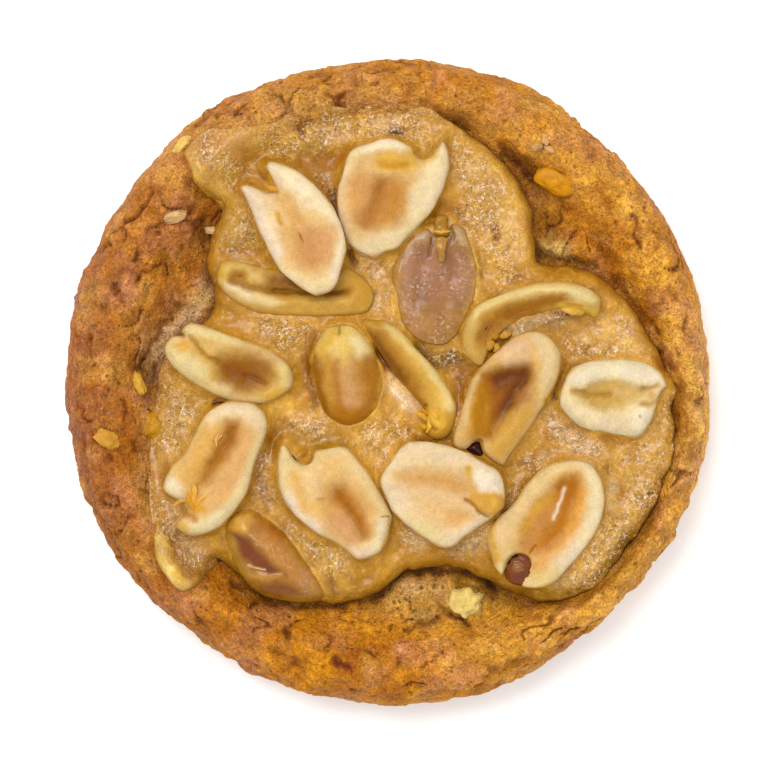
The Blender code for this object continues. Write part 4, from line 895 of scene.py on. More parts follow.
# Bottom right of the middle, with a flap.
HALF_13 = Half((
    (-0.8, -10.7), (0.4, -8.6), (1.7, -6.9), (2.9, -6.5), (6.7, -7), (10.6, -8.9), (12.2, -10.2),
    (12.6, -12.9), (11.8, -14.2), (8.3, -16.7), (7.2, -17.7), (6.1, -17.9), (4.6, -17.3), (1, -14.6),
    (-0.2, -12.6),
), z=13.6, crown=0.8, below=2.7, colours=("F0D6AC", "F4E6CA"), marks=(
    Patch("F0DCC0", 1.9, 0.8, 0.05, ((1.6, -7.2), (4.5, -6.7), (8, -7.8), (11.5, -9.9), (12.2, -11.6),
        (9.6, -11.6), (8.9, -9.6), (6, -8.8), (2, -9), (0.8, -9.2))),
    Patch("DBA55E", 2.4, 0.9, -0.35, ((0.8, -10), (4.5, -9.5), (7.4, -10.2), (9.2, -11.6), (9.4, -12.6),
        (7.4, -12.4), (4.6, -11.5), (1.6, -11.1))),
    Streak("E2B45C", 0.6, 0.8, 0, ((8.5, -9.6), (8.8, -10.8), (9.2, -11.8))),
    Streak("CFA22C", 0.3, 0.9, 0, ((8.55, -9.35),)),
    Patch("F7EFE2", 1.1, 0.9, 0.15, ((9.2, -9.2), (11, -9.6), (12.2, -10.6), (12.1, -11.9), (10, -11.9),
        (9.2, -10.8))),
    Patch("F3E2CE", 2.2, 0.7, 0, ((-0.5, -10.9), (1.4, -11.8), (2.6, -13.6), (1.6, -14.5), (0.1, -12.9))),
    Patch("EABF88", 2.7, 0.8, -0.1, ((3, -12.7), (6, -12.8), (8.2, -13.4), (9.6, -14.4), (7.8, -15.7),
        (6, -15.5), (4, -14.5))),
    Patch("E2AE62", 1.6, 0.7, -0.1, ((6.4, -14.4), (8.6, -14.2), (9.2, -14.9), (7.8, -15.8), (6.4, -15.6))),
    Patch("ECDCA6", 1.9, 0.7, 0, ((1.2, -14.4), (3.4, -14.8), (6, -16.5), (7, -17.6), (5.4, -17.7),
        (3, -16.2))),
    Streak("F2E4CC", 0.8, 0.8, 0.05, ((7.2, -17.1), (9, -15.9), (11, -14.9))),
    Patch("DDA648", 0.7, 0.95, 0.25, ((8.6, -12.6), (9.8, -12), (12.2, -12.1), (12.9, -13.2), (12.2, -14.2),
        (11, -14.3), (9.8, -14), (9, -13.2))),
    Streak("EABE60", 0.5, 0.8, 0.1, ((11.4, -12.9), (11.5, -13.7))),
    Streak("9E6A1C", 0.18, 0.85, -0.2, ((8.3, -12.7), (9.2, -13.3), (9.9, -14.1), (10.9, -14.5))),
    Streak("A88C60", 0.12, 0.7, 0, ((11.6, -11.1),)),
))

# Lower right, with its germ.
HALF_14 = Half((
    (19.9, -8.5), (21.9, -9), (23.2, -11.3), (23.2, -14.2), (22.1, -16.8), (19.3, -20.3), (17.7, -21.8),
    (15.7, -22.3), (14.3, -22), (14.6, -20.7), (15.2, -19.2), (13.9, -18.6), (12.9, -19.4), (12.2, -20.9),
    (10.9, -18.2), (10.9, -15.9), (13.5, -13.2), (15.2, -10.8), (17.6, -9),
), z=12.7, crown=0.9, below=2.9, colours=("E9C080", "F2DEAC"), marks=(
    Patch("EED2A0", 1.9, 0.85, 0, ((11.4, -15.6), (13.6, -13.8), (15.4, -11.8), (16.4, -10), (19, -9.2),
        (17.4, -11.2), (15.8, -13.2), (14.2, -15.2), (13.2, -17.6), (12.2, -18.8), (11.4, -17.2))),
    Patch("C8842C", 2.2, 0.95, -0.5, ((18.2, -10.8), (19.2, -10.4), (20.4, -10.5), (20.8, -12), (20.4, -14),
        (19.8, -15.8), (18.6, -17.4), (16.6, -18.9), (15, -19.2), (14, -18.2), (14.7, -15.8), (16, -13.8),
        (17.3, -12.2))),
    Streak("B06C10", 0.8, 0.8, -0.15, ((18.7, -11.2), (19.9, -10.9), (20, -12.4))),
    Streak("B87420", 1.3, 0.6, 0, ((19.2, -13), (18.6, -15.5), (17.4, -17.3))),
    Streak("D49C60", 1, 0.75, 0, ((17.3, -14), (16, -15.8), (15, -17.4))),
    Streak("E0AC48", 0.6, 0.75, 0, ((17.3, -12.6), (15.8, -14.1), (14.8, -15.8))),
    Streak("E8AA50", 0.7, 0.85, 0, ((20.9, -12.2), (20.6, -14.6), (19.4, -16.9), (17.6, -18.8), (16, -20))),
    Streak("D9A536", 0.45, 0.8, 0, ((11.2, -15.4), (11.1, -17.2), (11.7, -19.2))),
    Patch("F7ECD0", 1.6, 0.9, 0, ((20.6, -8.8), (22.4, -9.8), (23.2, -12.4), (22.8, -15.6), (21.2, -18),
        (19.6, -19.9), (20, -17.6), (21.1, -15.2), (21.7, -12.6), (21.4, -10.6))),
    Streak("F7EAD4", 1.1, 0.85, 0, ((20, -18.4), (18.6, -19.9))),
    Streak("F1DCA4", 0.9, 0.8, 0, ((17.8, -20.8), (16, -21.7))),
    Streak("FAE8D0", 0.22, 0.95, 0.15, ((19.1, -11.5), (18.5, -13), (17.8, -14.8))),
    Streak("9A5A1C", 0.15, 0.8, -0.1, ((15.2, -18.6), (15.8, -17.8))),
))

# Bottom left, round back up, in its skin.
HALF_15 = Half((
    (-16.9, -14.2), (-15.3, -13.7), (-13.7, -14.2), (-11.1, -16.3), (-8.7, -19.4), (-6.9, -22.4),
    (-7.6, -23.7), (-10.6, -23.8), (-13.9, -22.9), (-16.4, -20.2), (-17.7, -16.9), (-17.6, -15.2),
), z=11.2, crown=2.2, below=2.9, colours=("BE8640", "B8883C"), marks=(
    Patch("C49A48", 1.4, 0.95, 0, ((-17.8, -15.6), (-16.4, -16.4), (-16.6, -18.4), (-15, -21.2),
        (-15.8, -21.4), (-17.4, -19))),
    # A golden cap on top, partly its own colour and partly painted light.
    Patch("DCA44C", 1.1, 0.9, 0.1, ((-17, -15.4), (-15.4, -13.8), (-14.3, -13.7), (-14.5, -15.2),
        (-15.8, -16.4), (-16.8, -16.4))),
    Streak("ECBC68", 0.5, 0.8, 0.1, ((-15.9, -15), (-15.5, -15.8))),
    Patch("B06A14", 1.2, 0.85, 0, ((-13.9, -14.8), (-12.2, -15.4), (-11, -16.8), (-11.8, -17.6),
        (-13, -16.6), (-14.1, -15.8))),
    Patch("C88C4C", 1.6, 0.9, 0.1, ((-14.9, -15.9), (-13, -16.3), (-11.3, -17.7), (-9.9, -19.3),
        (-8.9, -21.1), (-10, -21.1), (-12, -19.4), (-13.8, -17.8), (-15.2, -16.8))),
    Patch("824600", 1.2, 1, -0.15, ((-17.2, -16.2), (-15.4, -16.7), (-13.8, -18.3), (-12.2, -19.7),
        (-10.9, -21.1), (-12.4, -21.1), (-14.4, -20.3), (-15.8, -19.1), (-16.4, -17.6))),
    # A dark band at the bottom, partly its own colour and partly painted shade.
    Patch("945600", 1.4, 0.9, -0.1, ((-14.2, -21.7), (-12, -21.3), (-10, -21.9), (-8.9, -23), (-11.8, -23.5),
        (-13.8, -22.8))),
    Streak("D09A50", 0.4, 0.7, 0.1, ((-15.2, -20.9), (-13.6, -21.2), (-11.6, -21))),
    Patch("C48E5C", 1.4, 0.85, 0, ((-9.7, -20.4), (-8.1, -20.4), (-7.3, -22.6), (-8.4, -22.9), (-9.9, -22))),
    Streak("F4D098", 0.09, 0.9, 0.1, ((-15.2, -20), (-14.2, -20.2), (-13.2, -20.3))),
), shoulder=3.6, skin=True, wetted=0.9, glints=(
    (0.9, 0.5, ((-13.4, -17.2), (-10.8, -19.4))),
    (0.7, 0.4, ((-9.4, -21), (-8.4, -22.4))),
))

HALVES = (
    HALF_01, HALF_02, HALF_03, HALF_04, HALF_05, HALF_06, HALF_07, HALF_08,
    HALF_09, HALF_10, HALF_11, HALF_12, HALF_13, HALF_14, HALF_15,
)

# Chopped peanut on the dough. The star-shaped bit at the bottom comes first.
CHIPS = (
    Bit("FAE290", 8.5, -24.0, 0.3, 2.9, 2.6, 2.2, 24, 6),
    Bit("DE9C28", 18.2, 21.6, -0.35, 3.4, 2.1, 1.4, -18),
    Bit("E0B24C", -27.0, -0.2, 0.0, 2.3, 1.1, 1.0, 112),
    Bit("DCA448", -30.3, -6.2, 0.0, 2.2, 1.5, 1.0, -40),
    Bit("DDB686", -23.0, 17.7, 0.0, 2.3, 1.0, 0.9, 18),
    Bit("D0982E", -25.5, -4.9, 0.2, 2.5, 2.0, 1.2, 100),
    Bit("F2D07C", -22.1, 25.5, 0.2, 1.9, 1.0, 0.9, 35),
    Bit("E2BC8C", -19.1, 16.3, 0.4, 1.2, 0.7, 0.7, 0),
    Bit("DDAE78", 16.0, 25.2, 0.1, 1.0, 0.7, 0.6, 20),
    Bit("DDAE78", 16.9, 25.9, 0.1, 1.0, 0.6, 0.6, 110),
    Bit("DDAE78", 17.4, 24.9, 0.1, 1.0, 0.6, 0.6, -30),
)

# The germs that stayed on the third and fourteenth halves, the fourteenth's with a lighter sliver on top as
# painted light, a nearly black sliver in the notch of the ninth, then flakes and slivers of kernel.
GERMS = (
    Stalk("B8841E", ((5.8, 18, 12.3), (5.75, 16.7, 12.6), (5.7, 15.6, 12.8)), (0.7, 0.78, 0.85), 0.8),
    Stalk("E2B44A", ((4.75, 16.15, 13.1), (5.7, 16, 13.3), (6.7, 16.15, 13.1)), (0.16, 0.18, 0.16), 1),
    Stalk("C9964A", ((5.65, 15.6, 12.9), (5.7, 14.2, 12.9), (5.85, 12.8, 12.7)), (0.72, 0.56, 0.36), 0.6),
    Stalk("86481A", ((14.9, -18.8, 13.1), (14.1, -20.3, 13), (13.5, -21.9, 12.6)), (0.8, 1.4, 1.2), 0.6),
    Stalk("A06A40", ((13.7, -19.5, 13.6), (14, -20.1, 13.7), (14.5, -20.4, 13.6)), (0.4, 0.6, 0.35), 0.5),
    Stalk("3E200E", ((8.4, -7.2, 12.2), (9.4, -7.4, 12.3), (10.2, -7.9, 12.2)), (0.5, 0.75, 0.5), 0.7),
)
FLAKES = (
    Stalk("EDB650", ((-20.9, -11, 14.1), (-20.7, -12, 14.25), (-21, -13.2, 14.1)), (0.16, 0.34, 0.24), 0.5),
    Stalk("DDA03A", ((-21.5, -11.9, 14), (-21.4, -12.9, 14.2), (-20.9, -13.8, 14.1)),
        (0.18, 0.36, 0.28), 0.5),
    Stalk("E4B05A", ((-23.1, -13.5, 13.5), (-22.4, -12.9, 14), (-21.4, -12.8, 14.1)),
        (0.12, 0.22, 0.16), 0.6),
    Stalk("F0BC60", ((-19.4, -12.3, 14), (-20.1, -12.6, 14.2), (-20.7, -13.2, 14.1)),
        (0.14, 0.24, 0.16), 0.5),
    Stalk("F4C870", ((-18.2, -5.7, 14), (-18.5, -6.3, 14.05), (-18.4, -7, 14)), (0.08, 0.13, 0.08), 0.7),
    Stalk("F4C870", ((-17.8, -5.8, 14), (-18.1, -6, 14.05), (-18.3, -6.4, 14)), (0.07, 0.11, 0.07), 0.7),
    Stalk("D8A048", ((-13.1, 20.9, 13.9), (-12.4, 20.7, 14.1), (-11.8, 20.4, 14.1)), (0.15, 0.3, 0.15), 0.5),
    Stalk("E0AA40", ((3, -3.4, 12.9), (3.7, -3.7, 13), (4.3, -4.4, 12.9)), (0.2, 0.35, 0.2), 0.8),
    Stalk("E8B648", ((4.7, -3.3, 13.4), (5.2, -3.9, 13.5), (5.3, -4.6, 13.4)), (0.2, 0.35, 0.2), 0.7),
    Stalk("E2B456", ((18.6, 7.8, 12.8), (19.8, 7.5, 13), (21.2, 7.4, 12.9)), (0.25, 0.45, 0.35), 0.7),
    Stalk("D09A44", ((10.2, 3.3, 12.7), (10.9, 3.8, 13), (11.5, 4.2, 12.9)), (0.34, 0.56, 0.36), 0.7),
    Stalk("C08834", ((10.7, 4.6, 12.7), (11.3, 4.9, 13), (12, 4.9, 12.9)), (0.3, 0.5, 0.32), 0.7),
    Stalk("B47A28", ((9.9, 4.3, 12.6), (10.4, 4.2, 12.9), (10.9, 4.4, 12.8)), (0.26, 0.44, 0.28), 0.7),
    Stalk("D0A04C", ((12, 4.7, 12.8), (12.7, 5, 13), (13.3, 5.1, 12.9)), (0.24, 0.4, 0.24), 0.7),
    Stalk("D8A448", ((11.4, 3.1, 12.8), (11.7, 3.5, 13.1), (11.7, 4.1, 13)), (0.24, 0.38, 0.24), 0.7),
    Stalk("E4AE34", ((3.3, -4.6, 12.8), (3.9, -5, 13.1), (4.7, -5, 13)), (0.16, 0.32, 0.16), 0.8),
    Stalk("D89C28", ((3.5, -3, 12.7), (4.2, -3.4, 13), (4.9, -3.2, 13)), (0.14, 0.28, 0.14), 0.8),
    Stalk("ECC050", ((4.3, -4.1, 13.3), (4.5, -4.9, 13.4), (4.1, -5.6, 13.1)), (0.12, 0.26, 0.16), 0.7),
    Stalk("DCB070", ((11.8, -19.4, 12.6), (12.1, -20.1, 12.6), (12.2, -21, 12.4)), (0.5, 0.35, 0.15), 0.6),
)


def smooth(t):
    """Smoothstep: 0 up to t = 0, 1 from t = 1 on, and 3t² - 2t³ between."""
    t = np.clip(t, 0, 1)
    return t * t * (3 - 2 * t)


def bell(distance, width):
    """exp(-(distance / width)²): 1 in the middle and almost 0 at twice the width."""
    return np.exp(-((distance / width) ** 2))


def rounded(t):
    """A quarter circle, sqrt(1 - (1 - t)²): steep from 0 at t = 0, and level where it ends at 1."""
    return np.sqrt(1 - (1 - t) ** 2)


def linear(colour):
    """An sRGB hex colour as linear red, green and blue."""
    value = np.array([int(colour[i : i + 2], 16) for i in (0, 2, 4)]) / 255
    return np.where(value <= 0.04045, value / 12.92, ((value + 0.055) / 1.055) ** 2.4)


def coated(points, colour):
    """The same paint on every point."""
    return np.ones_like(points) * linear(colour)


def covered(paint, colour, weight):
    """The paint with a colour laid over it as strongly as the weight says."""
    return paint + (linear(colour) - paint) * weight[..., None]


def flat(x, y):
    """Points at no height."""
    return np.stack([x, y, 0 * x], axis=-1)


def hashed(cell, seed):
    """Random numbers from 0 to 1 for whole-number lattice cells, the same for the same cell and seed, by
    products with large odd numbers kept to 32 bits."""
    mixed = (cell * np.array([73856093, 19349663, 83492791])).sum(axis=-1) + seed * 26544357
    mixed = mixed & 0xFFFFFFFF
    mixed = ((mixed ^ (mixed >> 13)) * 1274126177) & 0xFFFFFFFF
    mixed = ((mixed ^ (mixed >> 15)) * 668265263) & 0xFFFFFFFF
    return ((mixed ^ (mixed >> 16)) & 0xFFFFFF) / 0xFFFFFF


def noise(points, size, seed):
    """Smooth noise from -1 to 1: random values at the corners of cubes size mm wide, blended inside each
    cube by smoothstep weights."""
    scaled = points / size + NOISE_SEED_STEP * seed
    cell = np.floor(scaled).astype(np.int64)
    t = smooth(scaled - cell)
    total = np.zeros(points.shape[:-1])
    for corner in np.ndindex(2, 2, 2):
        corner = np.array(corner)
        weight = np.prod(np.where(corner, t, 1 - t), axis=-1)
        total += weight * (2 * hashed(cell + corner, seed) - 1)
    return total


def layered(points, *layers):
    """Noise of several sizes added up. Each layer is (height, size in mm, seed)."""
    return sum(height * noise(points, size, seed) for height, size, seed in layers)


def stirred(points, amount, seed):
    """The points moved every way by noise, by up to the amount in mm, so that a pattern on them bends."""
    return points + amount * np.stack([noise(points, STIR_SIZE, seed + k) for k in range(3)], axis=-1)


def cells(points, size, seed):
    """Distance, in cell sizes, to the nearest of points scattered one to a cube of size mm."""
    scaled = points / size + CELLS_SEED_STEP * seed
    cell = np.floor(scaled).astype(np.int64)
    near = np.full(points.shape[:-1], REACH)
    for step in np.ndindex(3, 3, 3):
        at = cell + np.array(step) - 1
        spot = np.stack([hashed(at, seed + k) for k in range(3)], axis=-1)
        near = np.minimum(near, np.sqrt(((at + spot - scaled) ** 2).sum(axis=-1)))
    return near


def path_distance(points, x, y, reach, closed=False):
    """Distance in mm from each (x, y) to a path of straight lines, or FAR outside the box that goes round the
    path at a distance of reach. A line's nearest point is start + t (end - start), with t from 0 to 1."""
    path = np.array(points, float)
    far = np.full(x.shape, FAR)
    low, high = path.min(axis=0) - reach, path.max(axis=0) + reach
    near = (x > low[0]) & (x < high[0]) & (y > low[1]) & (y < high[1])
    px, py, best = x[near], y[near], np.full(near.sum(), FAR)
    ends = np.roll(path, -1, axis=0) if closed else path[1:]
    starts = path if closed else path[:-1]
    if len(path) == 1:
        starts, ends = path, path
    for (ax, ay), (bx, by) in zip(starts, ends):
        length = (bx - ax) ** 2 + (by - ay) ** 2
        t = np.clip(((px - ax) * (bx - ax) + (py - ay) * (by - ay)) / max(length, 1e-9), 0, 1)
        best = np.minimum(best, np.hypot(px - ax - t * (bx - ax), py - ay - t * (by - ay)))
    far[near] = best
    return far


def signed_distance(points, x, y, reach):
    """Distance in mm from a closed outline, above 0 inside it, where a line drawn towards +x crosses the
    outline an odd number of times, and below 0 outside."""
    away = path_distance(points, x, y, reach, closed=True)
    inside = np.zeros(x.shape, bool)
    path = np.array(points, float)
    for (ax, ay), (bx, by) in zip(path, np.roll(path, -1, axis=0)):
        if ay != by:
            inside ^= ((ay > y) != (by > y)) & (x < (bx - ax) * (y - ay) / (by - ay) + ax)
    return np.where(inside, away, -away)


def closed_spline(points, count):
    """A smooth closed curve through the points: cubic pieces whose slope at each point is that between its
    neighbours, sampled at even distances along the curve, anticlockwise."""
    knot = np.array(points, float)
    before, after = np.roll(knot, 1, axis=0), np.roll(knot, -1, axis=0)
    slope = (after - before) / 2
    t = np.linspace(0, 1, SPLINE_STEPS, endpoint=False)[None, :, None]
    start, end = knot[:, None], after[:, None]
    s0, s1 = slope[:, None], np.roll(slope, -1, axis=0)[:, None]
    curve = (1 + 2 * t) * (1 - t) ** 2 * start + t * (1 - t) ** 2 * s0
    curve = curve + t**2 * (3 - 2 * t) * end + t**2 * (t - 1) * s1
    curve = curve.reshape(-1, 2)
    after = np.roll(curve, -1, axis=0)
    turning = (curve[:, 0] * after[:, 1] - curve[:, 1] * after[:, 0]).sum()
    curve = curve if turning > 0 else curve[::-1]
    closed = np.vstack([curve, curve[:1]])
    along = np.concatenate([[0], np.cumsum(np.hypot(*np.diff(closed, axis=0).T))])
    at = np.linspace(0, along[-1], count, endpoint=False)
    return np.stack([np.interp(at, along, closed[:, 0]), np.interp(at, along, closed[:, 1])], axis=-1)


def through(knots, angles):
    """The radius of a closed outline at each angle: cubic pieces through the (degrees, radius) knots."""
    at = np.radians([knot[0] for knot in knots])
    radius = np.array([knot[1] for knot in knots])
    at = np.concatenate([at - 2 * math.pi, at, at + 2 * math.pi])
    radius = np.tile(radius, 3)
    slope = np.gradient(radius, at)
    angles = (np.asarray(angles) + math.pi) % (2 * math.pi) - math.pi
    i = np.searchsorted(at, angles, side="right") - 1
    span = at[i + 1] - at[i]
    t = (angles - at[i]) / span
    start = (1 + 2 * t) * (1 - t) ** 2 * radius[i] + t * (1 - t) ** 2 * span * slope[i]
    end = t**2 * (3 - 2 * t) * radius[i + 1] + t**2 * (t - 1) * span * slope[i + 1]
    return start + end


def ring_shares(count, rim, fine):
    """Sizes of rings from 0 to 1: even ones up to 1 - rim, then fine ones that crowd towards the edge as
    1 - rim * cos(a) does, with a from 0 to a quarter turn."""
    crowded = 1 - rim * np.cos(np.linspace(0, math.pi / 2, fine))[1:]
    return np.concatenate([np.linspace(0, 1 - rim, count), crowded])


def outer_radius(angles):
    """The cookie's edge seen from above: a circle with a few shallow waves."""
    radius = np.full_like(angles, OUTER_RADIUS)
    for count, rise, phase in OUTLINE_WAVES:
        radius = radius + rise * np.sin(count * angles + math.radians(phase))
    return radius


def crest_radius(angles):
    """Where the rim is highest: a set share of the way from the recess's outline to the cookie's edge."""
    foot = through(RECESS_EDGE, angles)
    return foot + CREST_SHARE * (outer_radius(angles) - foot)


def dough_height(radius, angles):
    """Top of the dough: the dished floor, an S-shaped slope to the crest, then the superellipse of the
    shoulder, (1 - past^p)^(1/p) with p = WALL_POWER."""
    foot, crest, outer = through(RECESS_EDGE, angles), crest_radius(angles), outer_radius(angles)
    high = RIM_HEIGHT + RIM_HEIGHT_SWING * np.cos(angles - math.radians(RIM_HIGH_SIDE))
    rise = np.clip((radius - foot) / (crest - foot), 0, 1)
    floor = FLOOR_HEIGHT + FLOOR_RISE * np.clip(radius / foot, 0, 1) ** 2
    inner = floor + (high - floor) * rise**2 * (3 - 2 * rise)
    past = np.clip((radius - crest) / (outer - crest), 0, 1)
    shoulder = WIDEST_HEIGHT + (high - WIDEST_HEIGHT) * (1 - past**WALL_POWER) ** (1 / WALL_POWER)
    return np.where(radius < crest, inner, shoulder)


def dough_top(x, y):
    """Height of the dough at one place."""
    return float(dough_height(np.array(math.hypot(x, y)), np.array(math.atan2(y, x))))


def dough_profile(angles):
    """The bare case as rings from the middle of the recess to the foot of the wall: radius, height, and the
    lean of the surface, from 0 where it faces up to a quarter turn on the wall. Shoulder and wall are
    superellipses, whose sines and cosines are raised to 2 / WALL_POWER."""
    foot, crest, outer = through(RECESS_EDGE, angles), crest_radius(angles), outer_radius(angles)
    floor = np.concatenate([FLOOR_SHARES, np.linspace(FLOOR_FINE_FROM, 1.0, FLOOR_RINGS)])[:, None]
    slope = np.linspace(0, 1, SLOPE_RINGS)[1:, None]
    over = np.linspace(0, 90, SHOULDER_RINGS)[1:, None]
    wall = np.linspace(0, 90, WALL_RINGS)[1:-1, None]
    radii = np.concatenate([
        floor * foot,
        foot + slope * (crest - foot),
        crest + np.sin(np.radians(over)) ** (2 / WALL_POWER) * (outer - crest),
    ])
    height = dough_height(radii, angles[None, :])
    lean = np.concatenate([0 * floor, 0 * slope, over]) * np.ones_like(angles)
    out = np.cos(np.radians(wall)) ** (2 / WALL_POWER)
    down = np.sin(np.radians(wall)) ** (2 / WALL_POWER) * np.ones_like(angles)
    radii = np.concatenate([radii, FOOT_RADIUS + (outer - FOOT_RADIUS) * out])
    height = np.concatenate([height, WIDEST_HEIGHT * (1 - down)])
    return radii, height, np.radians(np.concatenate([lean, np.full_like(down, 90.0)]))


def praline_edge(count):
    """The praline's outline as a closed curve, made a little knobbly by noise."""
    edge = closed_spline(PRALINE_OUTLINE, count)
    points = flat(*edge.T)
    dx = layered(points, (0.28, 1.6, 65), (0.14, 0.8, 66))
    dy = layered(points, (0.28, 1.6, 67), (0.14, 0.8, 68))
    return edge + np.stack([dx, dy], axis=-1)


def praline_distance(x, y):
    """Distance in mm from the praline's outline, above 0 inside it."""
    return signed_distance(praline_edge(OUTLINE_STEPS), x, y, REACH)


def thinned(x, y):
    """How thin the praline is: 1 along the thin paths, falling to 0 away from them."""
    return sum(bell(path_distance(path, x, y, REACH), THIN_SPREAD) for path in THIN_PATHS)


def lumps(x, y, z):
    """How far the baked lumps and dents push the dough outwards: ball-shaped bells of either sign."""
    draw = np.random.default_rng(LUMP_SEED)
    turn = draw.uniform(0, 2 * math.pi, LUMP_COUNT)
    out = draw.uniform(*LUMP_RADII, LUMP_COUNT)
    up = draw.uniform(*LUMP_HEIGHTS, LUMP_COUNT)
    rise = draw.uniform(-LUMP_RISE, LUMP_RISE, LUMP_COUNT)
    spread = draw.uniform(*LUMP_SPREADS, LUMP_COUNT)
    total = np.zeros(x.shape)
    for i in range(LUMP_COUNT):
        near_x, near_y = x - out[i] * math.cos(turn[i]), y - out[i] * math.sin(turn[i])
        total += rise[i] * np.exp(-(near_x**2 + near_y**2 + (z - up[i]) ** 2) / spread[i] ** 2)
    return total


def warped(x, y, z, amount):
    """The points moved sideways by noise, so that marks painted on them get uneven edges."""
    points = np.stack([x, y, z], axis=-1)
    dx = layered(points, (0.7, 1.1, 41), (0.4, 0.45, 42))
    dy = layered(points, (0.7, 1.1, 43), (0.4, 0.45, 44))
    return x + amount * dx, y + amount * dy


def painted(paint, marks, x, y):
    """The paint after each mark has covered it in turn, and how far the marks raise the surface."""
    rise = np.zeros(x.shape)
    for mark in marks:
        weight = mark.weight(x, y)
        paint = covered(paint, mark.colour, weight * mark.strength)
        rise = rise + mark.rise * weight
    return paint, rise


def froth_and_glint_weight(spots, x, y):
    """How much each place froths or gets painted glints: a bell across each path, the strongest where they
    overlap.
    """
    froth_and_glints = np.zeros(x.shape)
    for spread, strength, path in spots:
        froth_and_glints = np.maximum(froth_and_glints, strength * bell(path_distance(path, x, y, 3 * spread), spread))
    return froth_and_glints


def surface(x, y, z, paint, froth_and_glints=0.0):
    """Rings of points with their paint and foam, as one array of rings by steps by seven numbers."""
    return np.concatenate([np.stack([x, y, z], axis=-1), paint, (froth_and_glints + 0 * x)[..., None]], axis=-1)


def build(name, surfaces, material, slot_name, nodes=()):
    """One mesh of closed surfaces, in metres. The rings of each run from its first pole to its last;
    neighbouring rings are joined by quads, and the first and last ring to their pole by triangles."""
    rows, faces, start = [], [], 0
    for rings in surfaces:
        count, steps = rings.shape[:2]
        inner = rings[1:-1].reshape(-1, rings.shape[-1])
        closed = np.concatenate([rings[:1].mean(axis=1), inner, rings[-1:].mean(axis=1)])
        i = np.arange(steps)
        j = (i + 1) % steps
        row = start + 1 + np.arange(count - 3)[:, None] * steps
        quads = np.stack([row + i, row + steps + i, row + steps + j, row + j], axis=-1).reshape(-1, 4)
        last, bottom = start + 1 + (count - 3) * steps, start + len(closed) - 1
        faces += quads.tolist()
        faces += np.stack([0 * i + start, start + 1 + i, start + 1 + j], axis=-1).tolist()
        faces += np.stack([0 * i + bottom, last + j, last + i], axis=-1).tolist()
        rows.append(closed)
        start += len(closed)
    rows = np.concatenate(rows)
    mesh = bpy.data.meshes.new(name)
    mesh.from_pydata((rows[:, :3] * MM).tolist(), [], faces)
    rgba = np.ones((len(rows), 4), np.float32)
    rgba[:, :3] = np.clip(rows[:, 3:6] * PAINT_GAIN[slot_name] - PAINT_SHEEN, DARKEST_PAINT, 1)
    mesh.attributes.new("paint", "FLOAT_COLOR", "POINT").data.foreach_set("color", rgba.ravel())
    froth_and_glints = rows[:, 6].astype(np.float32)
    mesh.attributes.new("froth_and_glints", "FLOAT", "POINT").data.foreach_set("value", froth_and_glints)
    mesh.shade_smooth()
    mesh.materials.append(material)
    obj = bpy.data.objects.new(name, mesh)
    bpy.context.scene.collection.objects.link(obj)
    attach(obj, "root")
    if nodes:
        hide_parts(*nodes)


def add(tree, kind, inputs, output=0, **settings):
    """Adds a node with its settings, sets its inputs to values or links them to sockets, and gives back one
    of its outputs."""
    made = tree.nodes.new(kind)
    for key, value in settings.items():
        setattr(made, key, value)
    for key, value in inputs.items():
        if isinstance(value, bpy.types.NodeSocket):
            tree.links.new(value, made.inputs[key])
        else:
            made.inputs[key].default_value = value
    return made.outputs[output]


